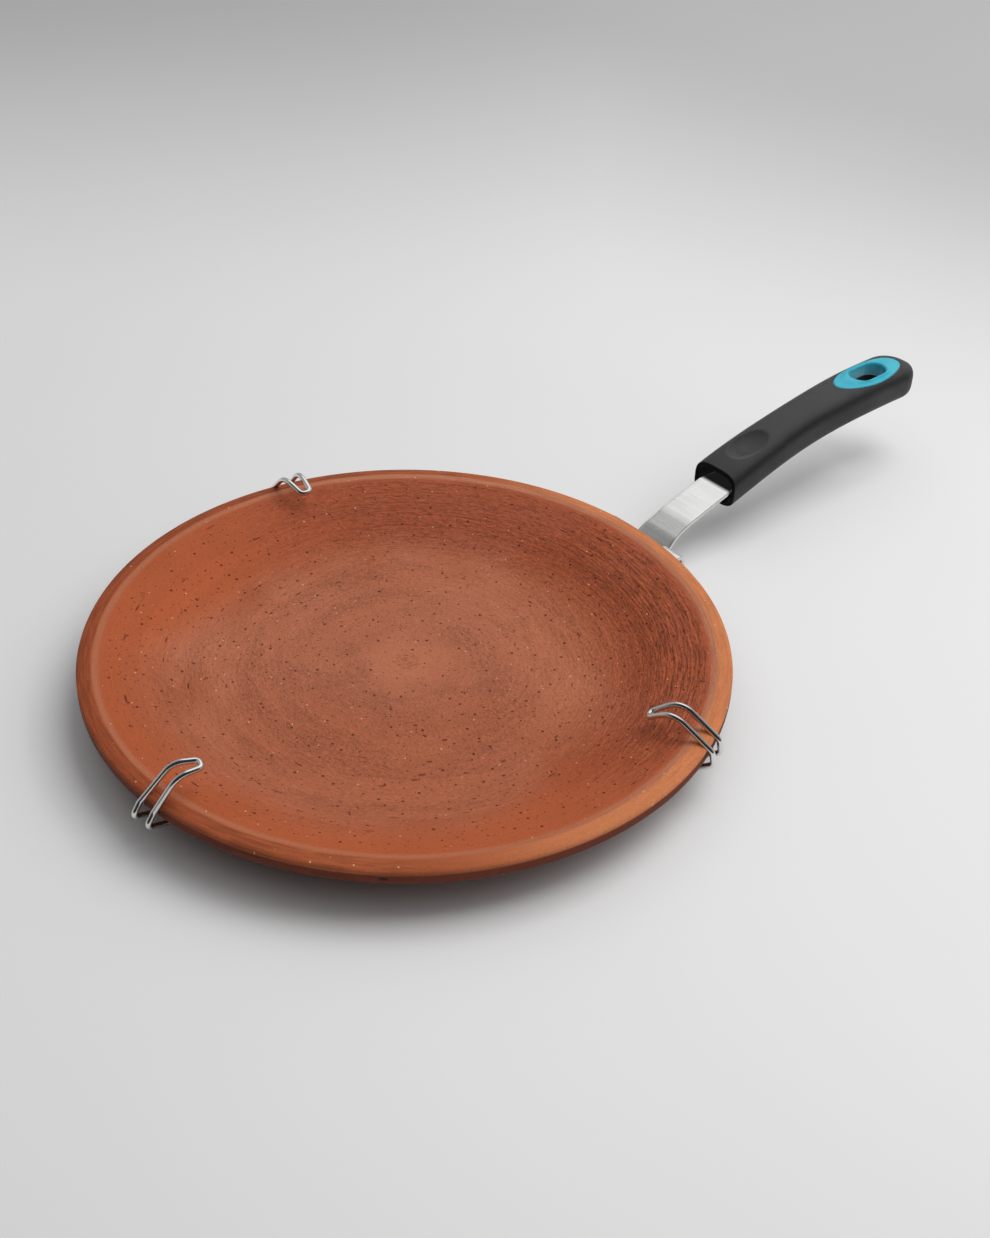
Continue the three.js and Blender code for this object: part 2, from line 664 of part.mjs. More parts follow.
// An oval, used for the flange that shows around the hole
function oval(length, width) {
  const shape = new THREE.Shape();
  shape.absellipse(hangX, 0, length / 2, width / 2, 0, Math.PI * 2, false, 0);
  return shape;
}

const bodyBox = body.boundingBox();
const below = bodyBox.min[2] - SHEET;
const above = bodyBox.max[2] + SHEET;
const hangHole = solidOf(upright(longRound(HANG_LENGTH, HANG_WIDTH), below, above, SHEET_ARC_POINTS));
const hangTop = gripSection(hangX).middle + gripSection(hangX).halfHeight;

// The lining: a flange that follows the grip's top and a collar that lines the hole
function liningShape(clearance) {
  const flangeOutline = oval(LINING_FLANGE_LENGTH + 2 * clearance, LINING_FLANGE_WIDTH + 2 * clearance);
  const collarLength = HANG_LENGTH + 2 * (LINING_WALL + clearance);
  const collarWidth = HANG_WIDTH + 2 * (LINING_WALL + clearance);
  const collarLow = hangTop - LINING_DEPTH - clearance;
  const skinLow = body.translate([0, 0, -LINING_FLANGE_THICKNESS - clearance]);
  const flangeLow = hangTop - LINING_DEPTH;
  const flange = solidOf(upright(flangeOutline, flangeLow, above, OVAL_POINTS)).subtract(skinLow);
  const collar = solidOf(upright(longRound(collarLength, collarWidth), collarLow, above, SHEET_ARC_POINTS));
  return flange.add(collar);
}

addPiece('hang_hole_lining', geometryOf(liningShape(0).intersect(body).subtract(hangHole)), blueLining);

// The hollow mouth: a smaller D that leaves an even wall
function mouthHollow() {
  const rings = [];
  const outside = new THREE.Vector3(-SHEET, 0, 0);
  rings.push(gripRing(gripStart, GRIP_MOUTH_WALL).map((point) => point.add(outside)));
  for (let i = 0; i <= HOLLOW_RINGS; i += 1) {
    rings.push(gripRing(gripStart + (i / HOLLOW_RINGS) * GRIP_MOUTH_DEPTH, GRIP_MOUTH_WALL));
  }
  return solidOf(loft(rings));
}

function gripGeometry() {
  const dimpleX = gripStart + DIMPLE_FROM_MOUTH;
  const dimpleSection = gripSection(dimpleX);
  const dimpleNear = gripSection(dimpleX - DIMPLE_LENGTH / 2);
  const dimpleFar = gripSection(dimpleX + DIMPLE_LENGTH / 2);
  const dimpleRise = dimpleFar.middle - dimpleNear.middle;
  const slope = Math.atan(dimpleRise / DIMPLE_LENGTH);
  // The thumb dimple is a scoop by a flattened ball, tilted with the top of the grip
  const scoopDepth = DIMPLE_DEPTH * DIMPLE_FLATNESS;
  const share = Math.sqrt(1 - (1 - DIMPLE_DEPTH / scoopDepth) ** 2);
  const scoop = new THREE.SphereGeometry(1, SCOOP_SIDES, SCOOP_SIDES / 2);
  scoop.scale(DIMPLE_LENGTH / 2 / share, DIMPLE_WIDTH / 2 / share, scoopDepth);
  scoop.rotateY(-slope);
  scoop.translate(dimpleX, 0, dimpleSection.middle + dimpleSection.halfHeight + scoopDepth - DIMPLE_DEPTH);
  const slotWidth = STRAP_WIDTH + 2 * SEAT_GAP;
  const slotSheet = solidOf(acrossWidth(strapSide(SHEET + 2 * SEAT_GAP), slotWidth));
  const slot = slotSheet.intersect(strapPlan(SEAT_GAP));
  // The slot runs on a little past the end of the strap
  const slotEnd = new THREE.BoxGeometry(4 * SEAT_GAP, TANG_WIDTH, SHEET);
  slotEnd.translate(strapTangEnd, 0, strapTangHeight);
  const headRoom = barAlongZ(SCREW_HEAD_DIAMETER + 2 * SEAT_GAP, screwX, below, screwSeat + SEAT_GAP);
  const shankRoom = barAlongZ(SCREW_DIAMETER + 2 * SEAT_GAP, screwX, below, screwTop + SEAT_GAP);
  return geometryOf(
    body
      .subtract(solidOf(scoop))
      .subtract(mouthHollow())
      .subtract(slot)
      .subtract(solidOf(slotEnd))
      .subtract(hangHole)
      .subtract(liningShape(SEAT_GAP))
      .subtract(headRoom)
      .subtract(shankRoom),
  );
}

addPiece('grip', gripGeometry(), softTouch);

// Grip screw: driven up through the grip and the strap
function screwGeometry() {
  const head = barAlongZ(SCREW_HEAD_DIAMETER, screwX, screwSeat - SCREW_HEAD_HEIGHT, screwSeat);
  const shank = barAlongZ(SCREW_DIAMETER, screwX, screwSeat - SCREW_HEAD_HEIGHT / 2, screwTop);
  return geometryOf(head.add(shank));
}

addPiece('grip_screw', screwGeometry(), brushedSteel);

export default part;
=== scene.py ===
import math

import bpy
import numpy as np
from mathutils import Matrix, Vector


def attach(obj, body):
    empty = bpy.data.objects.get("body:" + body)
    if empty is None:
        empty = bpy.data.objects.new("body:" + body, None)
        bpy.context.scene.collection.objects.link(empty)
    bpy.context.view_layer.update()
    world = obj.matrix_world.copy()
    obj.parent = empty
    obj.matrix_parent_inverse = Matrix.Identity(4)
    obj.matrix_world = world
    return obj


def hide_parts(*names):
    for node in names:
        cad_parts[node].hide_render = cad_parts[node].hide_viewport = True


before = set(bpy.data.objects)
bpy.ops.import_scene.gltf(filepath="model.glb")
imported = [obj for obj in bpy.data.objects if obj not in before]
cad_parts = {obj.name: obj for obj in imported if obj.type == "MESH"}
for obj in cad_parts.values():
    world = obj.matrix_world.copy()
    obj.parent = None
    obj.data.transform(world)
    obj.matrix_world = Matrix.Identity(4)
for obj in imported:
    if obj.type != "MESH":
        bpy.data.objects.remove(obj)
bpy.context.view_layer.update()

MM = 0.001
SEED = 7

# Sizes of the clay pan
PAN_RADIUS = 140
PAN_HEIGHT = 27.2
RIM_FALL = 5.6
RIM_SIDE = 2.2
RIM_UNDER_ROUND = 3
FLOOR_DEPTH = 13.8
FLOOR_HUMP = 1
FLOOR_RADIUS = 86
HUMP_RADIUS = 43
HUMP_SHARE = 0.55
WALL_SHOULDER_REACH = 19
WALL_SHOULDER_DROP = 4.2
BASE_RADIUS = 56
CONE_INNER_RADIUS = 84
CONE_INNER_HEIGHT = 4

# The rim as the picture shows it: a little wider, fuller and higher at its edge than the part's
SEEN_RIM_RADIUS = 140.6
SEEN_RIDGE_RADIUS = 133.8
SEEN_RIDGE_HEIGHT = 26.7
SEEN_EDGE_HEIGHT = 24.8
SEEN_SIDE = 3.4
SEEN_SQUARENESS = 2.4
CHIP_PLACE = (-95.3, -103.3, 22.4)

# Throwing lines as (pitch, depth)
THROWING_LINES = [(1.7, 0.05), (2.3, 0.06), (3.4, 0.06), (5.6, 0.07), (9.5, 0.08)]

# Sizes of the wire cradle
SEAT_GAP = 0.3
WIRE_DIAMETER = 2
SEEN_WIRE_DIAMETER = 2.5
RING_RADIUS = 85
RING_WIRE_DIAMETER = 2.4
CLIP_SPACING = 8.5
CLIP_NOSE_SPACING = 4.8
CLIP_UNDER_SLACK = 1.6
APEX_BEND = 10
OUTER_BEND = 2.6
LOWER_BEND = 3
UNDER_BEND = 6
ARM_SPACING = 34
ARM_CORNER = 6
ARM_WIRE_DIAMETER = 2.4

# Each clip: its turn about the pan, its lean, and its bends as (outside the pan's edge, above its rim)
CLIPS = {
    "back": (77, 8.3, {
        "lower": (3.6, -9.4), "outer": (2.9, -5.1), "apex": (-9.3, 8.8), "nose": (-22.5, 5.5),
    }),
    "front": (186.2, -25, {
        "lower": (6.4, -10), "outer": (2.3, -4.8), "apex": (-10.1, 10.8), "nose": (-20, 10.7),
    }),
    "right": (-67.7, -1.4, {
        "lower": (3.6, -9.4), "outer": (2.3, -3.2), "apex": (-16, 9.7), "nose": (-27.5, 1.3),
    }),
}

# Sizes of the bracket, the strap and the rivets
SHEET = 2
SHEET_EDGE = 0.3
BRACKET_WIDTH = 46
BRACKET_REACH = 11.6
BRACKET_TOP_DROP = 9.5
BRACKET_LIP = 11
BRACKET_BEND = 3.2
BRACKET_CORNER = 3
STRAP_WIDTH = 18.8
STRAP_FOOT_WIDTH = 36
STRAP_FOOT_HEIGHT = 6.4
STRAP_FLARE = 3
# The strap as the picture shows it: its corners as (along the handle, height), their bends and a flare
SEEN_STRAP_CORNERS = [(152.9, 12.2), (158.4, 16), (168.5, 20.3)]
SEEN_STRAP_BENDS = [3, 14, 34]
SEEN_STRAP_MOUTH_RISE = 0.4
SEEN_STRAP_FLARE = 1.3
SEEN_FLARE_START = 152
SEEN_FLARE_END = 164
NOTCH_HALF_WIDTH = 11.4
NOTCH_INSIDE_LIP = 7
NOTCH_OUTSIDE_LIP = 4
STRAP_MOUTH_DROP = 0.4
STRAP_MOUTH_BEND = 60
STRAP_TANG_INSET = 66
STRAP_TANG_DROP = 1
TANG_WIDTH = 14
TANG_TAPER = 9
RIVET_SPACING = 27
RIVET_DIAMETER = 3.4
RIVET_HEAD_DIAMETER = 5.6
RIVET_HEAD_HEIGHT = 1.6
RIVET_HEAD_SIDE = 0.3
RIVET_TAIL_DIAMETER = 5
RIVET_TAIL_HEIGHT = 1.4
RIVET_TAIL_ROUND = 0.25
RIVET_EDGE = 3.3

# Sizes of the grip, its lining and its screw
GRIP_FROM_BRACKET = 42.6
GRIP_LENGTH = 147
GRIP_MOUTH_HEIGHT = 18.2
GRIP_WIDTH = 26.3
GRIP_MOUTH_FLOOR = 5.9
GRIP_ARCH = 15.5
GRIP_CREST_SHARE = 0.74
GRIP_END_DROP = 1.3
GRIP_HEIGHT = 18.2
GRIP_WAIST = 1.2
GRIP_WAIST_SHARE = 0.8
GRIP_TOP_SQUARENESS = 3.2
GRIP_FLOOR_SQUARENESS = 3.8
GRIP_EDGE_ROUND = 1.2
GRIP_END_ROUND = 15
GRIP_END_THICKNESS_SHARE = 0.45
GRIP_MOUTH_WALL = 2
GRIP_MOUTH_DEPTH = 20
DIMPLE_FROM_MOUTH = 22.8
DIMPLE_LENGTH = 26
DIMPLE_WIDTH = 17
DIMPLE_DEPTH = 2.8
DIMPLE_FLATNESS = 3
DIMPLE_BLEND = 0.1
HANG_FROM_END = 33.2
HANG_LENGTH = 23
HANG_WIDTH = 12
LINING_FLANGE_LENGTH = 49
LINING_FLANGE_WIDTH = 20
LINING_FLANGE_THICKNESS = 2
LINING_WALL = 1.8
LINING_DEPTH = 7
LINING_LIP = 1.6
LINING_LIP_RISE = 0.7
SCREW_TANG_SHARE = 0.7
SCREW_DIAMETER = 3.6
SCREW_HEAD_DIAMETER = 7
SCREW_HEAD_HEIGHT = 1.8
SCREW_WALL = 1
SCREW_PROUD = 2
SCREW_POINT = 1.2
RECESS_HALF_LENGTH = 2.1
RECESS_HALF_WIDTH = 0.45
RECESS_DEPTH = 1.1

# The grip's cutters start at a height below it and end a little above its top
CUT_LOW = 10
FLANGE_CUT_RISE = 5
HOLE_CUT_RISE = 6

# Fineness of the meshes: sides around the pieces, and steps along them
PAN_SIDES = 360
PAN_TOP_STEP = 0.42
PAN_EDGE_STEP = 0.45
PAN_UNDER_STEP = 1.6
WIRE_SIDES = 20
RING_SIDES = 18
RING_STEPS = 240
CLIP_STEP = 0.6
ARM_STEP = 0.8
BRACKET_STEP = 0.3
STRAP_STEP = 0.4
RIVET_SIDES = 40
SCREW_SIDES = 48
GRIP_SIDES = 112
GRIP_STEP = 0.55
GRIP_END_STEPS = 34
MOUTH_STEPS = 24
MOUTH_EDGE_STEPS = 15
HOLE_SIDES = 120
LINING_SIDES = 144

# Places that follow from the sizes
UNDER_ROUND_X = PAN_RADIUS - RIM_UNDER_ROUND
RIM_SIDE_TOP = PAN_HEIGHT - RIM_FALL
UNDER_ROUND_Z = RIM_SIDE_TOP - RIM_SIDE
CONE_OUTER_Z = UNDER_ROUND_Z - RIM_UNDER_ROUND
CONE_SLOPE = (CONE_OUTER_Z - CONE_INNER_HEIGHT) / (UNDER_ROUND_X - CONE_INNER_RADIUS)
LIP_OUTER = PAN_RADIUS + BRACKET_REACH
LIP_INNER = LIP_OUTER - SHEET
BRACKET_TOP = PAN_HEIGHT - BRACKET_TOP_DROP
LIP_BOTTOM = BRACKET_TOP - BRACKET_LIP
RIVET_Z = LIP_BOTTOM + RIVET_EDGE
GRIP_START = LIP_OUTER + GRIP_FROM_BRACKET
GRIP_END = GRIP_START + GRIP_LENGTH
STRAP_MIDDLE = LIP_OUTER + SEAT_GAP + SHEET / 2
STRAP_MOUTH_Z = PAN_HEIGHT - STRAP_MOUTH_DROP
GRIP_FLOOR = STRAP_MOUTH_Z - SHEET / 2 - SEAT_GAP - GRIP_MOUTH_FLOOR
HANG_X = GRIP_END - HANG_FROM_END
TANG_END = GRIP_END - STRAP_TANG_INSET


# Mesh helpers

def smooth_step(value, low, high):
    share = np.clip((value - low) / (high - low), 0, 1)
    return share * share * (3 - 2 * share)


def turns(count):
    """Evenly spaced angles round a circle."""
    return np.arange(count) * (2 * math.pi / count)


def unit(vectors):
    return vectors / np.linalg.norm(vectors, axis=1)[:, None]


def travelled(line):
    """The length along a line at each of its points."""
    return np.concatenate([[0], np.cumsum(np.linalg.norm(np.diff(line, axis=0), axis=1))])


def points_along(line, count):
    """Evenly spaced points along a line."""
    lengths = travelled(line)
    places = np.linspace(0, lengths[-1], count)
    return np.stack([np.interp(places, lengths, line[:, k]) for k in range(line.shape[1])], axis=1)


def finish_edges(piece, sharp_angle):
    """Smooth faces, with sharp edges where they meet at more than an angle."""
    piece.data.shade_smooth()
    piece.data.set_sharp_from_angle(angle=math.radians(sharp_angle))


def add_object(name, data):
    made = bpy.data.objects.new(name, data)
    bpy.context.scene.collection.objects.link(made)
    return made


def new_mesh(name, points, faces, sharp_angle):
    mesh = bpy.data.meshes.new(name)
    mesh.from_pydata((np.asarray(points, float) * MM).tolist(), [], faces)
    mesh.validate()
    piece = add_object(name, mesh)
    finish_edges(piece, sharp_angle)
    return piece


def place(piece, node, material):
    piece.data.materials.clear()
    piece.data.materials.append(material)
    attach(piece, "root")
    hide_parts(node)


def skin(rows, closed=False):
    """A skin through rows of points, each a ring. The end rings are filled, or joined if it is closed."""
    columns = len(rows[0])
    points = [point for row in rows for point in row]
    faces = []
    for i in range(len(rows) if closed else len(rows) - 1):
        low = i * columns
        high = (i + 1) % len(rows) * columns
        for j in range(columns):
            following = (j + 1) % columns
            faces.append((low + j, low + following, high + following, high + j))
    if closed:
        return points, faces
    start = len(points)
    points.append(np.mean(rows[0], axis=0))
    points.append(np.mean(rows[-1], axis=0))
    last = (len(rows) - 1) * columns
    for j in range(columns):
        following = (j + 1) % columns
        faces.append((start, following, j))
        faces.append((start + 1, last + j, last + following))
    return points, faces


def skinned(name, rows, sharp_angle, closed=False):
    points, faces = skin(rows, closed)
    return new_mesh(name, points, faces, sharp_angle)


def at_height(outline, height):
    """A flat outline as a ring of points at one height."""
    return np.column_stack([outline, np.full(len(outline), height)])


def ring_about(radius, angles, height):
    """A ring of points about the upright axis. Its radius and height may change with the angle."""
    heights = np.broadcast_to(height, angles.shape)
    return np.stack([radius * np.cos(angles), radius * np.sin(angles), heights], axis=1)


def turned(profile, sides):
    """Rings about the upright axis from (radius, height) pairs."""
    return [ring_about(radius, turns(sides), height) for radius, height in profile]


def bend(start, corner, end, count):
    """Points of a smooth bend that leaves and arrives along the lines to its corner."""
    share = np.linspace(0, 1, count)[:, None]
    return (1 - share) ** 2 * start + 2 * share * (1 - share) * corner + share ** 2 * end


def rounded_path(corners, bends, step):
    """Straight runs joined by rounded bends, as evenly spaced points."""
    corners = [np.asarray(corner, float) for corner in corners]
    dense = [corners[0]]
    for i in range(1, len(corners) - 1):
        back = corners[i - 1] - corners[i]
        ahead = corners[i + 1] - corners[i]
        back_length = np.linalg.norm(back)
        ahead_length = np.linalg.norm(ahead)
        cosine = np.clip(back @ ahead / (back_length * ahead_length), -1, 1)
        turn = math.pi - math.acos(cosine)
        room = min(back_length, ahead_length) * 0.49
        reach = min(bends[i - 1] * math.tan(turn / 2), room)
        start = corners[i] + back / back_length * reach
        end = corners[i] + ahead / ahead_length * reach
        dense.extend(bend(start, corners[i], end, 25))
    dense.append(corners[-1])
    dense = np.array(dense)
    count = max(2, int(math.ceil(travelled(dense)[-1] / step)))
    return points_along(dense, count + 1)


def wire_rows(path, radius, sides=WIRE_SIDES, closed=False):
    """Rings of a round wire along a path, turned as little as they can be from one to the next."""
    count = len(path)
    if closed:
        along = np.roll(path, -1, axis=0) - np.roll(path, 1, axis=0)
    else:
        along = np.gradient(path, axis=0)
    along = unit(along)
    side = np.cross(along[0], (0.0, 0.0, 1.0))
    if np.linalg.norm(side) < 0.1:
        side = np.cross(along[0], (0.0, 1.0, 0.0))
    angles = turns(sides)
    rows = []
    for i in range(count):
        side = side - along[i] * (side @ along[i])
        side /= np.linalg.norm(side)
        other = np.cross(along[i], side)
        rows.append(path[i] + radius * (np.cos(angles)[:, None] * side + np.sin(angles)[:, None] * other))
    return rows, along


def wire_mesh(name, path, radius):
    """An open wire with softly rounded ends."""
    rows, along = wire_rows(path, radius)
    start_caps = []
    end_caps = []
    for turn in np.radians([75, 50, 25]):
        shrink = math.cos(turn)
        push = radius * 0.5 * math.sin(turn)
        start_caps.append(path[0] + (rows[0] - path[0]) * shrink - along[0] * push)
        end_caps.append(path[-1] + (rows[-1] - path[-1]) * shrink + along[-1] * push)
    return skinned(name, start_caps + rows + end_caps[::-1], 60)


def sheet_outline(half):
    """The section of a sheet as (across, up) pairs, with rounded edges and points along its two faces."""
    flat = half - SHEET_EDGE
    rise = SHEET / 2 - SHEET_EDGE
    arc = np.radians([0, 22.5, 45, 67.5, 90])
    outline = []
    for side, face, begin in [(1, 1, 0), (-1, 1, 90), (-1, -1, 180), (1, -1, 270)]:
        for angle in arc + math.radians(begin):
            across = side * flat + SHEET_EDGE * math.cos(angle)
            outline.append((across, face * rise + SHEET_EDGE * math.sin(angle)))
        if side == face:
            for across in np.linspace(face * flat, -face * flat, 13)[1:-1]:
                outline.append((across, face * SHEET / 2))
    return outline


def strip_mesh(name, path, halves):
    """A bent strip of sheet: path in X and Z, and half widths across Y."""
    along = unit(np.gradient(path, axis=0))
    normal = np.stack([-along[:, 1], along[:, 0]], axis=1)
    rows = []
    for i in range(len(path)):
        row = []
        for across, up in sheet_outline(halves[i]):
            row.append((path[i, 0] + normal[i, 0] * up, across, path[i, 1] + normal[i, 1] * up))
        rows.append(np.array(row))
    return skinned(name, rows, 50)


def cut(piece, cutter):
    """Takes the cutter's space out of the piece and removes the cutter."""
    modifier = piece.modifiers.new("cut", "BOOLEAN")
    modifier.operation = "DIFFERENCE"
    modifier.solver = "EXACT"
    modifier.object = cutter
    apply_modifiers(piece)
    bpy.data.objects.remove(cutter)


def apply_modifiers(piece):
    graph = bpy.context.evaluated_depsgraph_get()
    shaped = bpy.data.meshes.new_from_object(piece.evaluated_get(graph))
    piece.modifiers.clear()
    piece.data = shaped


# Material helpers

def linear(red, green, blue):
    """A colour from its 0 to 255 screen values."""
    shares = np.array([red, green, blue]) / 255
    dark = shares / 12.92
    light = ((shares + 0.055) / 1.055) ** 2.4
    return tuple(np.where(shares <= 0.04045, dark, light)) + (1.0,)


class Value:
    """What a node gives, with the signs of arithmetic."""

    def __init__(self, nodes, socket):
        self.nodes = nodes
        self.socket = socket

    def __add__(self, other):
        return self.nodes.math("ADD", self, other)

    def __sub__(self, other):
        return self.nodes.math("SUBTRACT", self, other)

    def __rsub__(self, other):
        return self.nodes.math("SUBTRACT", other, self)

    def __mul__(self, other):
        return self.nodes.math("MULTIPLY", self, other)

    def __truediv__(self, other):
        return self.nodes.math("DIVIDE", self, other)

    def __lt__(self, other):
        return self.nodes.math("LESS_THAN", self, other)

    def __gt__(self, other):
        return self.nodes.math("GREATER_THAN", self, other)

    def __abs__(self):
        return self.nodes.math("ABSOLUTE", self)


class Nodes:
    """Makes the nodes of a material or of the world."""

    def __init__(self, tree):
        self.tree = tree

    def add(self, kind, inputs, **settings):
        made = self.tree.nodes.new(kind)
        for key, value in settings.items():
            setattr(made, key, value)
        for key, value in inputs.items():
            self.feed(made.inputs[key], value)
        return made

    def give(self, output, kind, inputs, **settings):
        """One output of a new node."""
        return Value(self, self.add(kind, inputs, **settings).outputs[output])

    def feed(self, socket, value):
        if isinstance(value, Value):
            self.tree.links.new(value.socket, socket)
        else:
            socket.default_value = value

    def math(self, operation, first, second=0.0):
        return self.give(0, "ShaderNodeMath", {0: first, 1: second}, operation=operation)

    def most(self, *values):
        most = values[0]
        for value in values[1:]:
            most = self.math("MAXIMUM", most, value)
        return most

    def ramp(self, value, low, high, to_low=0.0, to_high=1.0):
        inputs = {"Value": value, "From Min": low, "From Max": high, "To Min": to_low, "To Max": to_high}
        return self.give("Result", "ShaderNodeMapRange", inputs, interpolation_type="SMOOTHSTEP")

    def parts(self, vector):
        return [Value(self, part) for part in self.add("ShaderNodeSeparateXYZ", {0: vector}).outputs]

    def joined(self, x, y, z):
        return self.give(0, "ShaderNodeCombineXYZ", {0: x, 1: y, 2: z})

    def scaled(self, vector, factor):
        """A place made larger, or a colour made lighter or darker."""
        return self.give(0, "ShaderNodeVectorMath", {0: vector, "Scale": factor}, operation="SCALE")

    def noise(self, vector, scale, detail=2.0, roughness=0.5):
        inputs = {"Vector": vector, "Scale": scale, "Detail": detail, "Roughness": roughness}
        return self.give("Fac", "ShaderNodeTexNoise", inputs)

    def cells(self, vector, scale, dimensions="3D"):
        """The distance to the nearest cell's middle, and a number that picks the cell."""
        settings = {"feature": "F1", "voronoi_dimensions": dimensions}
        made = self.add("ShaderNodeTexVoronoi", {"Vector": vector, "Scale": scale}, **settings)
        pick = self.parts(Value(self, made.outputs["Color"]))[0]
        return Value(self, made.outputs["Distance"]), pick

    def mix(self, share, first, second):
        return self.give(2, "ShaderNodeMix", {"Factor": share, 6: first, 7: second}, data_type="RGBA")


class Surface(Nodes):
    """A material with one principled shader, and places on it in millimetres."""

    def __init__(self, name):
        self.material = bpy.data.materials.new(name)
        self.material.use_nodes = True
        super().__init__(self.material.node_tree)
        self.shader = self.tree.nodes["Principled BSDF"]
        self.place = self.scaled(self.give("Object", "ShaderNodeTexCoord", {}), 1 / MM)

    def normals(self):
        return self.parts(self.give("Normal", "ShaderNodeNewGeometry", {}))

    def set(self, name, value):
        self.feed(self.shader.inputs[name], value)

    def finish(self, colour, roughness, specular=0.5, metallic=0.0):
        self.set("Base Color", colour)
        self.set("Roughness", roughness)
        self.set("Specular IOR Level", specular)
        self.set("Metallic", metallic)
        return self.material

    def bump(self, height):
        """Small bumps, with their height in millimetres."""
        inputs = {"Strength": 1.0, "Distance": MM, "Height": height}
        self.set("Normal", self.give(0, "ShaderNodeBump", inputs))


# Clay: its colours from the floor out to the rim and underneath, and those of its marks

FLOOR_CLAY = linear(187, 113, 83)
NEAR_FLOOR_CLAY = linear(179, 103, 73)
SMOOTH_WALL_CLAY = linear(181, 92, 54)
COMBED_WALL_CLAY = linear(174, 91, 62)
PATCH_CLAY = linear(166, 82, 46)
# Painted highlight: the ridge colours, paler on the combed side
SMOOTH_RIDGE_HIGHLIGHT_CLAY = linear(177, 104, 73)
COMBED_RIDGE_HIGHLIGHT_CLAY = linear(194, 125, 94)
# Painted light and shade: the rim's face lit on the right and shaded on the left
SHADED_LEFT_FACE_CLAY = linear(158, 78, 46)
HALF_LIT_FACE_CLAY = linear(172, 91, 56)
LIT_RIGHT_FACE_CLAY = linear(208, 128, 83)
# Painted shade: the rim's lower side
SHADED_SIDE_CLAY = linear(116, 54, 34)
# Painted shade: the underside
SHADED_UNDER_CLAY = linear(108, 56, 39)
PIT_CLAY = linear(88, 33, 21)
CHIP_CLAY = linear(38, 30, 30)
GRIT_CLAY = linear(236, 184, 142)
GOUGE_CLAY = linear(216, 132, 88)


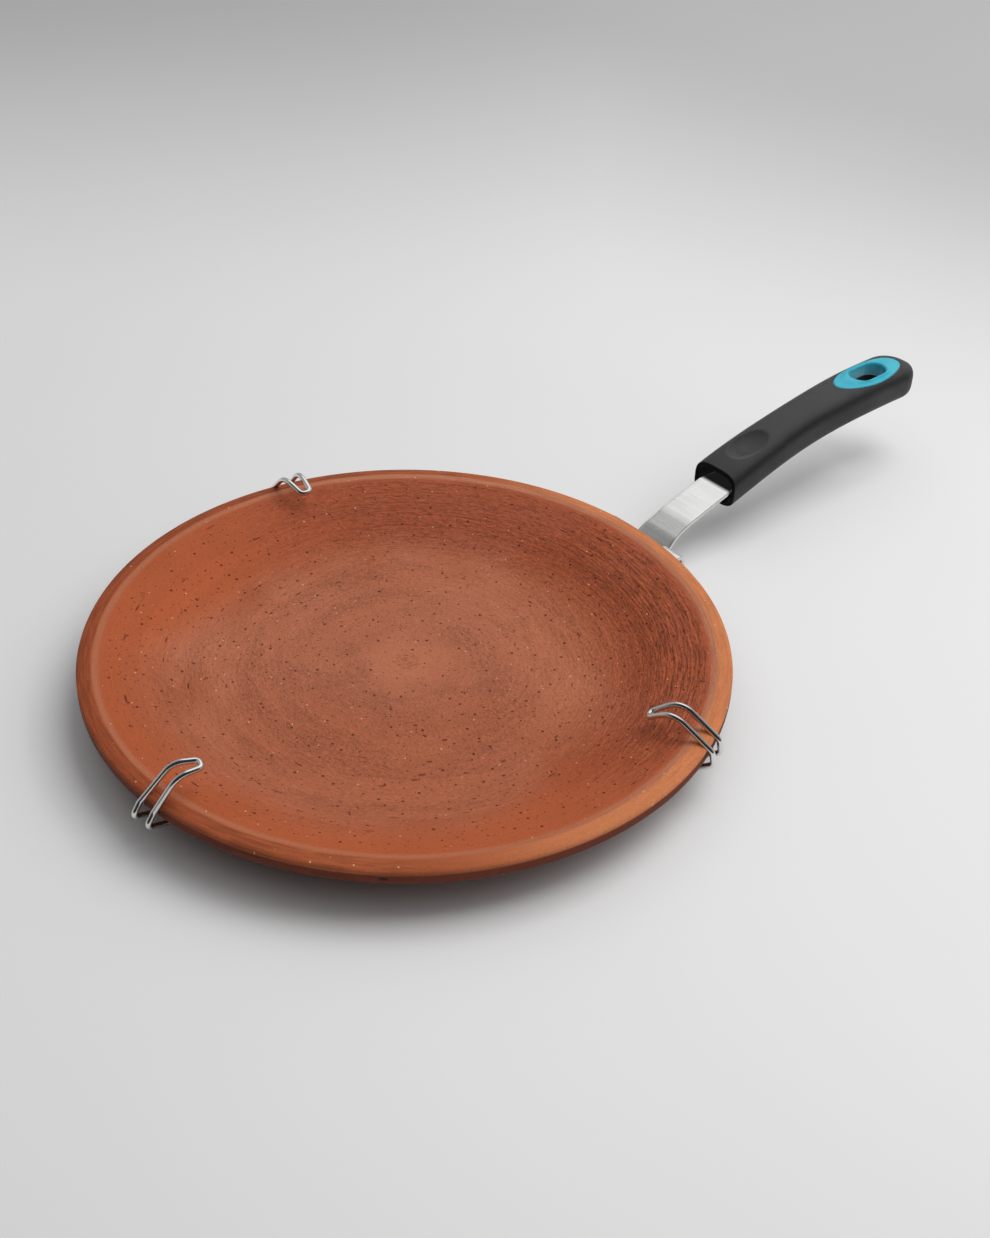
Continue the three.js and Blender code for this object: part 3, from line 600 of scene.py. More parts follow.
class Clay(Surface):
    """The clay of the pan, with places about its axis and shares of its wall and rim."""

    def __init__(self):
        super().__init__("terracotta")
        self.x, self.y, self.z = self.parts(self.place)
        self.radius = self.math("SQRT", self.x * self.x + self.y * self.y)
        safe_radius = self.most(self.radius, 0.5)
        self.cosine = self.x / safe_radius
        self.sine = self.y / safe_radius
        self.grain = self.noise(self.place, 1.5, 4, 0.72)
        # Sides of the pan, as turns from the handle
        self.right_side = self.towards(-43)
        near_left = self.ramp(self.towards(-165), 0.1, 0.85)
        self.combed_side = self.ramp(self.towards(0), -0.35, 0.55, 0.1, 1)
        # Zones of the pan, from the middle outward
        self.on_wall = self.ramp(self.radius - near_left * 26, 76, 104)
        self.inside = self.by_radius(126, 131, 1, 0.1)
        self.on_fall = self.by_radius(133.4, 135)
        self.below_edge = self.ramp(self.z, 23.6, 24.7, 1, 0) * self.by_radius(130, 134)

    def by_radius(self, low, high, to_low=0.0, to_high=1.0):
        """A level that changes between two radii."""
        return self.ramp(self.radius, low, high, to_low, to_high)

    def towards(self, degrees):
        """1 on the side of the pan that lies at this turn, and -1 on the side across from it."""
        turn = math.radians(degrees)
        return self.cosine * math.cos(turn) + self.sine * math.sin(turn)

    def around(self, stretch):
        """Coordinates that run with the throwing lines: one across them and two along them."""
        return self.joined(self.radius + self.z, self.cosine * stretch, self.sine * stretch)

    def bands(self, stretch):
        """Coordinates for broad rings about the axis."""
        return self.joined(self.radius * stretch, self.cosine, self.sine)

    def spots(self, across, along, scale, rarity, smallest, largest):
        """Round spots in a share of the cells, with sizes in millimetres."""
        distance, pick = self.cells(self.joined(across, along, 0.0), scale, "2D")
        size = self.ramp(pick, rarity, 1, smallest * scale, largest * scale)
        return (pick > rarity) * self.ramp(distance / size, 0.55, 1, 1, 0)

    def body_colour(self):
        """A paler floor, a smooth orange wall on one side and a darker combed one on the other."""
        wall = self.mix(self.combed_side, SMOOTH_WALL_CLAY, COMBED_WALL_CLAY)
        near_floor = self.ramp(self.towards(-133), 0.1, 0.9) * self.by_radius(20, 50)
        floor = self.mix(near_floor, FLOOR_CLAY, NEAR_FLOOR_CLAY)
        colour = self.mix(self.on_wall, floor, wall)
        patches = self.ramp(self.noise(self.place, 0.017, 2, 0.6), 0.42, 0.68, 0, 0.45)
        return self.mix(patches * self.by_radius(50, 96, 0.2, 1), colour, PATCH_CLAY)

    def rim_colour(self, colour):
        """A pale ridge as a painted highlight, a face painted orange and lit on the right and shaded on the
        left, and a lower side and a brown underside painted dark as shade.
        """
        # The pale ridge is a painted highlight
        ridge = self.mix(self.combed_side, SMOOTH_RIDGE_HIGHLIGHT_CLAY, COMBED_RIDGE_HIGHLIGHT_CLAY)
        colour = self.mix(self.by_radius(130.4, 132.4), colour, ridge)
        # The face is painted lit on the right and shaded on the left
        face = self.mix(self.ramp(self.right_side, -0.9, 0), SHADED_LEFT_FACE_CLAY, HALF_LIT_FACE_CLAY)
        face = self.mix(self.ramp(self.right_side, 0.1, 0.65), face, LIT_RIGHT_FACE_CLAY)
        colour = self.mix(self.on_fall, colour, face)
        # The lower side is painted dark as shade
        colour = self.mix(self.below_edge, colour, SHADED_SIDE_CLAY)
        # The underside is painted brown as shade
        out_z = self.normals()[2]
        return self.mix(self.ramp(out_z, -0.7, -0.25, 1, 0), colour, SHADED_UNDER_CLAY)

    def throwing_marks(self):
        """Short bumps, and thin lines on the right of the wall and on the rim: their tone and height."""
        bumps = self.noise(self.around(46), 0.85, 3, 0.65)
        lines = self.noise(self.around(11), 0.85, 2, 0.55)
        # How strong the bumps are at each place, and then the lines
        rough_band = self.ramp(self.noise(self.bands(0.045), 1.5, 2), 0.44, 0.62)
        floor_bumps = (rough_band * 0.35 + 0.5) * (1 - self.on_wall)
        inner_bumps = (floor_bumps + self.combed_side * self.on_wall) * self.by_radius(8, 26)
        bump_share = inner_bumps * self.by_radius(128.5, 132, 1, 0.1)
        wall_lines = self.ramp(self.towards(-38), 0.6, 0.95) * self.by_radius(100, 114)
        wall_lines = wall_lines * self.by_radius(128, 131, 1, 0)
        rim_lines = self.on_fall * self.ramp(self.right_side, -0.1, 0.3, 1, 0.05)
        line_share = wall_lines * 0.9 + rim_lines * 0.8 + inner_bumps * 0.5
        bump_tone = (self.ramp(bumps, 0.3, 0.7, 0.76, 1.14) - 1) * self.ramp(self.on_wall, 0.2, 0.9, 0.8, 1)
        line_tone = self.ramp(lines, 0.32, 0.68, 0.74, 1.1) - 1
        tone = bump_tone * bump_share + line_tone * line_share + 1
        bump_height = bumps * bump_share * self.ramp(self.on_wall, 0.2, 0.9, 1.3, 0.8)
        return tone, bump_height + lines * line_share * 0.45

    def broad_rings(self):
        rings = self.ramp(self.noise(self.bands(0.11), 1.0, 3, 0.6), 0.3, 0.7, -0.06, 0.04)
        return rings * self.by_radius(110, 128, 1, 0.2) * self.by_radius(8, 20) + 1

    def pits(self):
        """Small pits: clear ones, faint ones, and dragged ones that lie along the throwing marks."""
        clear = self.spots(self.x, self.y, 0.125, 0.3, 0.35, 0.75)
        faint = self.spots(self.y, self.x, 0.26, 0.4, 0.26, 0.5)
        distance, pick = self.cells(self.around(22), 0.28)
        dragged = self.ramp(distance / self.ramp(pick, 0.2, 1, 0.02, 0.18), 0.5, 1, 1, 0)
        dragged = dragged * self.by_radius(22, 34)
        # A scribbled patch where the tool left the middle of the floor
        stroke_place = self.joined(self.x + self.y, (self.x - self.y) * 0.25, 0.0)
        strokes = self.ramp(self.noise(stroke_place, 1.1, 2, 0.5), 0.54, 0.62)
        strokes = strokes * self.by_radius(4, 7.5, 0.45, 0)
        return self.most(clear, faint * 0.55, dragged * 0.85, strokes) * self.inside

    def chip(self):
        """One ragged chip low on the near edge."""
        chip_x, chip_y, chip_z = CHIP_PLACE
        from_chip = self.joined(self.x - chip_x, self.y - chip_y, (self.z - chip_z) * 2.4)
        offset = self.give("Value", "ShaderNodeVectorMath", {0: from_chip}, operation="LENGTH")
        return self.ramp(offset + self.grain * 2.4, 2.6, 3.4, 0.9, 0)

    def grit(self):
        return self.spots(self.x + 400, self.y, 0.08, 0.3, 0.2, 0.5) * (1 - self.below_edge)

    def gouges(self):
        across = (self.x + self.grain * 3) * 0.8
        along = (self.y - self.x * 0.6) * 0.45
        spots = self.spots(across, along, 0.04, 0.6, 0.5, 1.3)
        return spots * self.ramp(self.grain, 0.4, 0.6) * self.inside


def clay_surface():
    clay = Clay()
    tone, height = clay.throwing_marks()
    pits = clay.pits()
    grit = clay.grit()
    gouges = clay.gouges()
    colour = clay.rim_colour(clay.body_colour())
    for factor in (tone, clay.broad_rings(), clay.ramp(clay.grain, 0.28, 0.72, 0.85, 1.12)):
        colour = clay.scaled(colour, factor)
    colour = clay.mix(pits * 0.8, colour, PIT_CLAY)
    colour = clay.mix(clay.chip(), colour, CHIP_CLAY)
    colour = clay.mix(grit * 0.8, colour, GRIT_CLAY)
    colour = clay.mix(gouges * 0.75, colour, GOUGE_CLAY)
    clay.bump(height + clay.grain * 0.2 - pits * 0.4 + grit * 0.06 - gouges * 0.3)
    return clay.finish(colour, clay.ramp(clay.grain, 0.2, 0.8, 0.6, 0.8), specular=0.22)


# Steel

def polished_surface():
    surface = Surface("polished_wire")
    marks = surface.noise(surface.place, 0.7, 4, 0.6)
    wipe = surface.noise(surface.place, 0.06, 2, 0.5)
    colour = surface.mix(surface.ramp(wipe, 0.3, 0.7), linear(226, 226, 224), linear(212, 212, 211))
    surface.bump(marks * 0.012)
    return surface.finish(colour, surface.ramp(marks, 0.3, 0.75, 0.06, 0.17), metallic=1.0)


def brushed_surface(name, level, spread):
    """Steel with fine lines across the sheet: its grey level and how much its roughness varies."""
    surface = Surface(name)
    x, y, z = surface.parts(surface.place)
    lines = surface.joined(x, y * 0.04, z)
    fine = surface.noise(lines, 4, 3, 0.7)
    broad = surface.noise(lines, 0.6, 2, 0.5)
    smudge = surface.noise(surface.place, 0.05, 3, 0.55)
    tone = surface.ramp(fine, 0.25, 0.75, 0.9, 1.05) * surface.ramp(broad, 0.3, 0.7, 0.95, 1.03)
    # Inside the grip's mouth the strap is in the dark, so it is painted near black as the shade there
    in_mouth = surface.ramp(x, GRIP_START - 0.4, GRIP_START + 2.4)
    steel = surface.scaled(linear(level, level, level - 1)[:3], tone)
    colour = surface.mix(in_mouth, steel, linear(9, 8, 8))
    roughness = surface.ramp(fine, 0.25, 0.75, 0.2, 0.2 + spread) + surface.ramp(smudge, 0.4, 0.7, 0, 0.06)
    surface.bump(fine * 0.02 + broad * 0.02)
    return surface.finish(colour, roughness, metallic=1.0)


# Plastics

def painted_shade_hollows(surface, out_x, out_y, out_z):
    """Where black is painted as shade: the hollow mouth of the grip, and the wall of the hang hole below
    its lining.
    """
    x, y, z = surface.parts(surface.place)
    # In the mouth the faces look towards the middle of the grip or out of its end
    outward = out_y * y + out_z * (z - (GRIP_FLOOR + GRIP_MOUTH_HEIGHT / 2 + 1))
    looks_in = surface.ramp(outward, -1.5, -0.5, 1, 0)
    looks_out = surface.ramp(out_x, -0.4, -0.2, 1, 0)
    in_mouth = surface.most(looks_in, looks_out) * (x < GRIP_START + GRIP_MOUTH_DEPTH + 1)
    room = LINING_WALL + 0.6
    beside_hole = (abs(y) < HANG_WIDTH / 2 + room) * (abs(x - HANG_X) < HANG_LENGTH / 2 + room)
    return surface.most(in_mouth, beside_hole * (abs(out_z) < 0.5))


def soft_touch_surface():
    surface = Surface("soft_touch_black")
    out_x, out_y, out_z = surface.normals()
    hollow = painted_shade_hollows(surface, out_x, out_y, out_z)
    grain = surface.noise(surface.place, 2.6, 3, 0.65)
    speckle, _ = surface.cells(surface.place, 1.8)
    handling = surface.noise(surface.place, 0.045, 3, 0.6)
    colour = surface.mix(surface.ramp(handling, 0.35, 0.7), linear(44, 44, 45), linear(54, 54, 54))
    colour = surface.scaled(colour, surface.ramp(grain, 0.25, 0.75, 0.76, 1.22))
    # The sides are painted a deeper black than the top as shade, and the hollows are painted black as shade
    colour = surface.scaled(colour, surface.ramp(out_z, 0.3, 0.97, 0.12, 1.2))
    # Painted shade: black in the mouth and on the hang hole's wall
    colour = surface.mix(hollow, colour, linear(2, 2, 2))
    roughness = surface.most(surface.ramp(handling, 0.3, 0.75, 0.42, 0.54), hollow)
    surface.bump(grain * 0.14 + speckle * 0.05)
    return surface.finish(colour, roughness, specular=0.42)


def blue_surface():
    surface = Surface("blue_plastic")
    cloud = surface.noise(surface.place, 0.12, 3, 0.55)
    grain = surface.noise(surface.place, 2.4, 3, 0.6)
    colour = surface.mix(surface.ramp(cloud, 0.3, 0.7), linear(46, 174, 198), linear(62, 186, 207))
    colour = surface.scaled(colour, surface.ramp(grain, 0.25, 0.75, 0.96, 1.04))
    surface.bump(grain * 0.02)
    return surface.finish(colour, surface.ramp(grain, 0.2, 0.8, 0.34, 0.46))


# Clay pan

def inside_curve():
    """The floor and the wall as (radius, height) pairs: a smooth curve from the middle to the ridge."""
    floor = PAN_HEIGHT - FLOOR_DEPTH
    knots = np.array([
        (0, floor + FLOOR_HUMP),
        (HUMP_RADIUS, floor + FLOOR_HUMP * HUMP_SHARE),
        (FLOOR_RADIUS, floor),
        (SEEN_RIDGE_RADIUS - WALL_SHOULDER_REACH, SEEN_RIDGE_HEIGHT - WALL_SHOULDER_DROP),
        (SEEN_RIDGE_RADIUS, SEEN_RIDGE_HEIGHT),
    ], float)
    points = []
    last = len(knots) - 1
    for i in range(last):
        before = knots[max(i - 1, 0)]
        after = knots[min(i + 2, last)]
        leave = (knots[i + 1] - before) / 2
        arrive = (after - knots[i]) / 2
        for share in np.linspace(0, 1, 60, endpoint=False):
            square = share ** 2
            cube = share ** 3
            begin = (2 * cube - 3 * square + 1) * knots[i] + (cube - 2 * square + share) * leave
            points.append(begin + (3 * square - 2 * cube) * knots[i + 1] + (cube - square) * arrive)
    points.append(knots[-1])
    return np.array(points)


def rim_curve():
    """The rim, which falls away outward from its ridge a little fuller than an oval, and its lower edge."""
    points = []
    power = 2 / SEEN_SQUARENESS
    rim_width = SEEN_RIM_RADIUS - SEEN_RIDGE_RADIUS
    rim_fall = SEEN_RIDGE_HEIGHT - SEEN_EDGE_HEIGHT
    for turn in np.radians(np.linspace(90, 0, 40))[1:-1]:
        points.append((SEEN_RIDGE_RADIUS + rim_width * math.cos(turn) ** power,
                       SEEN_EDGE_HEIGHT + rim_fall * math.sin(turn) ** power))
    round_radius = SEEN_RIM_RADIUS - RIM_UNDER_ROUND
    round_height = SEEN_EDGE_HEIGHT - SEEN_SIDE
    for turn in np.radians(np.linspace(0, -90, 16)):
        points.append((round_radius + RIM_UNDER_ROUND * math.cos(turn),
                       round_height + RIM_UNDER_ROUND * math.sin(turn)))
    return np.array(points)


def under_curve():
    """The turn from the sloping underside into the flat base."""
    start = np.array([CONE_INNER_RADIUS, CONE_INNER_HEIGHT])
    corner = np.array([CONE_INNER_RADIUS - CONE_INNER_HEIGHT / CONE_SLOPE, 0])
    end = np.array([BASE_RADIUS, 0])
    return np.vstack([bend(start, corner, end, 30), [(0, 0)]])


def even_points(line, step):
    return points_along(line, int(travelled(line)[-1] / step) + 1)


def throwing_relief(lengths, angles):
    """Heights of the throwing lines: a few spirals of different pitch."""
    chance = np.random.default_rng(SEED)
    relief = np.zeros((len(lengths), len(angles)))
    for pitch, depth in THROWING_LINES:
        phase = chance.uniform(0, 2 * math.pi)
        swell = 1 + 0.5 * np.sin(angles * chance.integers(1, 4) + chance.uniform(0, 6))
        drift = 0.5 * np.sin(angles * chance.integers(2, 5) + chance.uniform(0, 6))
        spiral = 2 * math.pi * lengths[:, None] / pitch + angles[None, :] + phase + drift[None, :]
        relief += depth * swell[None, :] * np.sin(spiral)
    return relief


def build_pan():
    rim = rim_curve()
    top = even_points(inside_curve(), PAN_TOP_STEP)[1:]
    edge = even_points(rim, PAN_EDGE_STEP)
    below = even_points(np.vstack([rim[-1:], under_curve()]), PAN_UNDER_STEP)[1:-1]
    line = np.vstack([top, edge, below])
    along = unit(np.gradient(line, axis=0))
    outward = np.stack([-along[:, 1], along[:, 0]], axis=1)
    angles = turns(PAN_SIDES)
    radius = line[:, 0]
    index = np.arange(len(line))
    on_top = index < len(top)
    on_edge = (index >= len(top)) & (index < len(top) + len(edge))
    # Throwing lines are strongest on the wall, weak on the rim and gone below it
    floor_share = 0.25 + 0.2 * smooth_step(radius, 78, 100)
    wall_share = floor_share * (1 - 0.6 * smooth_step(radius, 128, 132)) * smooth_step(radius, 0, 8)
    share = np.where(on_top, wall_share, np.where(on_edge, 0.18, 0.0))
    relief = throwing_relief(travelled(line), angles) * share[:, None]
    # The rim of a hand-thrown pan is never quite level
    wobble = 0.16 * np.sin(2 * angles + 0.7) + 0.1 * np.sin(3 * angles + 2.1) + 0.05 * np.sin(7 * angles)
    level = smooth_step(radius, 95, 132) * np.where(on_top | on_edge, 1, 0)
    ring_radii = radius[:, None] + outward[:, 0:1] * relief
    heights = line[:, 1][:, None] + outward[:, 1:2] * relief + level[:, None] * (wobble[None, :] - 0.1)
    rows = [ring_about(ring_radius, angles, height) for ring_radius, height in zip(ring_radii, heights)]
    points, faces = skin(rows)
    pan = new_mesh("pan_body", points, [face[::-1] for face in faces], 70)
    place(pan, "clay_pan", clay_surface())


# Wire cradle

def under_height(radius, diameter):
    """Middle height of a wire that lies along the underside of the pan."""
    surface = CONE_INNER_HEIGHT + (radius - CONE_INNER_RADIUS) * CONE_SLOPE
    return surface - (diameter / 2 + SEAT_GAP) / math.cos(math.atan(CONE_SLOPE))


def build_ring(material):
    path = ring_about(RING_RADIUS, turns(RING_STEPS), under_height(RING_RADIUS, RING_WIRE_DIAMETER))
    rows, _ = wire_rows(path, RING_WIRE_DIAMETER / 2, RING_SIDES, closed=True)
    ring = skinned("ring_wire", rows, 60, closed=True)
    place(ring, "cradle_ring", material)


def turn_about(points, centre_x, degrees):
    """Points turned about an upright axis at a place on X."""
    turn = math.radians(degrees)
    points = np.array(points, float)
    from_x = points[:, 0] - centre_x
    turned_x = centre_x + from_x * math.cos(turn) - points[:, 1] * math.sin(turn)
    turned_y = from_x * math.sin(turn) + points[:, 1] * math.cos(turn)
    return np.stack([turned_x, turned_y, points[:, 2]], axis=1)


def clip_leg(lean, bends, side):
    """Corners of one leg of a clip. Above the outer bend the wire leans about that bend."""
    across = side * CLIP_SPACING / 2
    nose_across = side * CLIP_NOSE_SPACING / 2
    leg_end = RING_RADIUS + RING_WIRE_DIAMETER / 2
    under_z = under_height(UNDER_ROUND_X, WIRE_DIAMETER) - CLIP_UNDER_SLACK

    def corner(name, y):
        out, up = bends[name]
        return PAN_RADIUS + out, y, PAN_HEIGHT + up

    lower_part = [
        (leg_end, across, under_height(leg_end, WIRE_DIAMETER)),
        (UNDER_ROUND_X, across, under_z),
        corner("lower", across),
        corner("outer", across),
    ]
    upper_part = [corner("apex", across), corner("nose", nose_across)]
    pivot = PAN_RADIUS + bends["outer"][0]
    return np.vstack([lower_part, turn_about(upper_part, pivot, lean)])


def build_clip(side, material):
    turn, lean, bends = CLIPS[side]
    corners = np.vstack([clip_leg(lean, bends, 1), clip_leg(lean, bends, -1)[::-1]])
    radii = [UNDER_BEND, LOWER_BEND, OUTER_BEND, APEX_BEND, CLIP_NOSE_SPACING / 2]
    path = rounded_path(corners, radii + radii[::-1], CLIP_STEP)
    clip = wire_mesh("clip_" + side, turn_about(path, 0, turn), SEEN_WIRE_DIAMETER / 2)
    place(clip, "clip_wire_" + side, material)


def build_arm(material):
    half = ARM_SPACING / 2
    end_z = BRACKET_TOP - SHEET - SEAT_GAP - ARM_WIRE_DIAMETER / 2
    start_radius = RING_RADIUS + RING_WIRE_DIAMETER / 2 + SEAT_GAP
    start_x = math.sqrt(start_radius ** 2 - half ** 2)
    bend_x = math.sqrt(UNDER_ROUND_X ** 2 - half ** 2)
    end_x = LIP_INNER - RIVET_TAIL_HEIGHT - ARM_WIRE_DIAMETER / 2 - 2 * SEAT_GAP
    leg = [
        (start_x, under_height(start_radius, ARM_WIRE_DIAMETER)),
        (bend_x, min(under_height(UNDER_ROUND_X, ARM_WIRE_DIAMETER), end_z)),
        (end_x, end_z),
    ]
    near = [(x, half, z) for x, z in leg]
    far = [(x, -half, z) for x, z in leg[::-1]]
    path = rounded_path(near + far, [UNDER_BEND, ARM_CORNER, ARM_CORNER, UNDER_BEND], ARM_STEP)
    arm = wire_mesh("arm_wire", path, ARM_WIRE_DIAMETER / 2)
    place(arm, "handle_arm", material)


# Bracket, strap and rivets

def build_bracket(material):
    middle = SHEET / 2
    corners = [
        (PAN_RADIUS + SEAT_GAP, BRACKET_TOP - middle),
        (LIP_OUTER - middle, BRACKET_TOP - middle),
        (LIP_OUTER - middle, LIP_BOTTOM),
    ]
    path = rounded_path(corners, [BRACKET_BEND], BRACKET_STEP)
    below = np.clip(LIP_BOTTOM + BRACKET_CORNER - path[:, 1], 0, BRACKET_CORNER * 0.995)
    halves = BRACKET_WIDTH / 2 - BRACKET_CORNER + np.sqrt(BRACKET_CORNER ** 2 - below ** 2)
    bracket = strip_mesh("bracket_angle", path[::-1], halves[::-1])
    # A notch in the bend lets the strap be seen down to its foot
    inside = LIP_OUTER - NOTCH_INSIDE_LIP
    outside = LIP_OUTER + NOTCH_OUTSIDE_LIP
    notch = [(inside, NOTCH_HALF_WIDTH), (inside, -NOTCH_HALF_WIDTH)]
    notch += [(outside, -NOTCH_HALF_WIDTH), (outside, NOTCH_HALF_WIDTH)]
    notch_floor = LIP_BOTTOM + STRAP_FOOT_HEIGHT - 1
    cut(bracket, upright_cutter("notch_cutter", np.array(notch), notch_floor, BRACKET_TOP + 3))
    finish_edges(bracket, 40)
    place(bracket, "handle_bracket", material)


def tang_height():
    """Middle height of the strap where it ends inside the grip."""
    return grip_section(TANG_END)[0] - STRAP_TANG_DROP


def strap_path():
    corners = [
        (STRAP_MIDDLE, LIP_BOTTOM),
        *SEEN_STRAP_CORNERS,
        (GRIP_START, STRAP_MOUTH_Z + SEEN_STRAP_MOUTH_RISE),
        (TANG_END, tang_height()),
    ]
    return rounded_path(corners, SEEN_STRAP_BENDS + [STRAP_MOUTH_BEND], STRAP_STEP)


def strap_halves(path):
    """Half width at each place: a wide foot, a small flare, the strap, and the tang inside the grip."""
    foot_top = LIP_BOTTOM + STRAP_FOOT_HEIGHT
    half = STRAP_WIDTH / 2
    on_foot = path[:, 0] < STRAP_MIDDLE + 0.5
    above_foot = np.where(on_foot, path[:, 1] - foot_top, STRAP_FLARE)
    rise = np.clip(above_foot, 0, STRAP_FLARE)
    flare = half + STRAP_FLARE - np.sqrt(STRAP_FLARE ** 2 - (STRAP_FLARE - rise) ** 2)
    halves = np.where(above_foot <= 0, STRAP_FOOT_WIDTH / 2, flare)
    fading = 1 - smooth_step(path[:, 0], SEEN_FLARE_START, SEEN_FLARE_END)
    widening = np.where(above_foot > 0, fading, 0)
    narrowing = np.clip((path[:, 0] - GRIP_START) / TANG_TAPER, 0, 1)
    return halves + SEEN_STRAP_FLARE * widening - (half - TANG_WIDTH / 2) * narrowing


def build_strap(material):
    path = strap_path()
    strap = strip_mesh("strap_sheet", path, strap_halves(path))
    place(strap, "handle_strap", material)


def build_rivet(side, sign, material):
    outer = LIP_OUTER + SHEET + 2 * SEAT_GAP
    inner = LIP_INNER - SEAT_GAP
    head = RIVET_HEAD_DIAMETER / 2
    tail = RIVET_TAIL_DIAMETER / 2
    shank = RIVET_DIAMETER / 2
    tail_end = inner - RIVET_TAIL_HEIGHT
    profile = [(tail * 0.3, tail_end + 0.1), (tail * 0.85, tail_end), (tail, tail_end + RIVET_TAIL_ROUND)]
    profile += [(tail, inner), (shank, inner), (shank, outer)]
    # A low dome on a short upright side
    dome_start = outer + RIVET_HEAD_SIDE
    dome_height = RIVET_HEAD_HEIGHT - RIVET_HEAD_SIDE
    profile += [(head, outer), (head, dome_start)]
    for turn in np.radians([20, 40, 60, 75, 86]):
        profile.append((head * math.cos(turn), dome_start + dome_height * math.sin(turn)))
    shift = np.array([0, sign * RIVET_SPACING / 2, RIVET_Z])
    # The upright axis becomes X
    rows = [np.roll(row, 1, axis=1) + shift for row in turned(profile, RIVET_SIDES)]
    rivet = skinned("rivet_" + side, rows, 40)
    place(rivet, "strap_rivet_" + side, material)


# Grip

def grip_rise(share):
    from_crest = share - GRIP_CREST_SHARE
    if from_crest < 0:
        return GRIP_ARCH * (1 - (from_crest / GRIP_CREST_SHARE) ** 2)
    return GRIP_ARCH - GRIP_END_DROP * (from_crest / (1 - GRIP_CREST_SHARE)) ** 2


def grip_section(x):
    """Middle height, half height and half width of the grip at x."""
    share = (x - GRIP_START) / GRIP_LENGTH
    height = GRIP_MOUTH_HEIGHT + (GRIP_HEIGHT - GRIP_MOUTH_HEIGHT) * min(1, share * 2)
    waist = GRIP_WAIST * math.sin(math.pi * min(1, share / GRIP_WAIST_SHARE)) ** 2
    to_end = max(0, (x - (GRIP_END - GRIP_END_ROUND)) / GRIP_END_ROUND)
    taper = math.sqrt(max(0, 1 - to_end * to_end))
    thickness = GRIP_END_THICKNESS_SHARE + (1 - GRIP_END_THICKNESS_SHARE) * taper
    middle = GRIP_FLOOR + GRIP_MOUTH_HEIGHT / 2 + grip_rise(share)
    return middle, height / 2 * thickness, (GRIP_WIDTH / 2 - waist) * taper


def grip_top(x, y):
    middle, half_height, half_width = grip_section(x)
    across = min(1, abs(y) / half_width)
    return middle + half_height * (1 - across ** GRIP_TOP_SQUARENESS) ** (1 / GRIP_TOP_SQUARENESS)


def grip_ring(x, inset):
    middle, half_height, half_width = grip_section(x)
    angles = turns(GRIP_SIDES)
    cosine = np.cos(angles)
    sine = np.sin(angles)
    power = 2 / np.where(sine < 0, GRIP_FLOOR_SQUARENESS, GRIP_TOP_SQUARENESS)
    across = np.sign(cosine) * np.abs(cosine) ** power * (half_width - inset)
    up = np.sign(sine) * np.abs(sine) ** power * (half_height - inset)
    return np.stack([np.full(GRIP_SIDES, x), across, middle + up], axis=1)


def dimple(ring):
    """Presses the thumb dimple into the top of a ring."""
    x = ring[0, 0]
    dimple_x = GRIP_START + DIMPLE_FROM_MOUTH
    depth = DIMPLE_DEPTH * DIMPLE_FLATNESS
    share = math.sqrt(1 - (1 - DIMPLE_DEPTH / depth) ** 2)
    middle, half_height, _ = grip_section(dimple_x)
    near = grip_section(dimple_x - DIMPLE_LENGTH / 2)[0]
    far = grip_section(dimple_x + DIMPLE_LENGTH / 2)[0]
    slope = (far - near) / DIMPLE_LENGTH
    along = (x - dimple_x) / (DIMPLE_LENGTH / 2 / share)
    across = ring[:, 1] / (DIMPLE_WIDTH / 2 / share)
    inside = np.clip(1 - along ** 2 - across ** 2, 0, 1)
    centre = middle + half_height + depth - DIMPLE_DEPTH + slope * (x - dimple_x)
    scoop = np.where(inside > 0, centre - depth * np.sqrt(inside), 1000)
    gap = np.clip(0.5 + 0.5 * (scoop - ring[:, 2]) / DIMPLE_BLEND, 0, 1)
    lowered = scoop * (1 - gap) + ring[:, 2] * gap - DIMPLE_BLEND * gap * (1 - gap)
    upper = ring[:, 2] > middle
    ring[:, 2] = np.where(upper & (inside > 0), lowered, ring[:, 2])
    return ring


def long_round(length, width, count):
    """Points of a slot with round ends, about the middle of the hang hole."""
    reach = (length - width) / 2
    points = []
    for turn in turns(count):
        side = 1 if math.cos(turn) >= 0 else -1
        points.append((HANG_X + side * reach + width / 2 * math.cos(turn), width / 2 * math.sin(turn)))
    return np.array(points)


def oval(length, width, count):
    angles = turns(count)
    return np.stack([HANG_X + length / 2 * np.cos(angles), width / 2 * np.sin(angles)], axis=1)


def upright_cutter(name, outline, low, high):
    return skinned(name, [at_height(outline, low), at_height(outline, high)], 30)


def flange_cutter():
    """A pocket in the grip's top whose floor follows the top."""
    outline = oval(LINING_FLANGE_LENGTH + 2 * SEAT_GAP, LINING_FLANGE_WIDTH + 2 * SEAT_GAP, LINING_SIDES)
    centre = np.array([HANG_X, 0])
    rows = []
    for share in np.linspace(0.04, 1, 12):
        ring = centre + (outline - centre) * share
        depth = LINING_FLANGE_THICKNESS + SEAT_GAP
        rows.append(np.array([(x, y, grip_top(x, y) - depth) for x, y in ring]))
    rows.append(at_height(outline, grip_top(HANG_X, 0) + FLANGE_CUT_RISE))
    return skinned("flange_cutter", rows, 30)


def screw_places():
    """Where the grip screw is: along the grip, its seat and its tip."""
    tang_z = tang_height()
    x = GRIP_START + (TANG_END - GRIP_START) * SCREW_TANG_SHARE
    strap_z = STRAP_MOUTH_Z + (tang_z - STRAP_MOUTH_Z) * SCREW_TANG_SHARE
    slope = (tang_z - STRAP_MOUTH_Z) / (TANG_END - GRIP_START)
    strap_under = strap_z - SHEET / 2 - SEAT_GAP - SCREW_HEAD_DIAMETER / 2 * slope
    seat = strap_under - SCREW_WALL - SEAT_GAP
    return x, seat, strap_z + SHEET / 2 + SCREW_PROUD


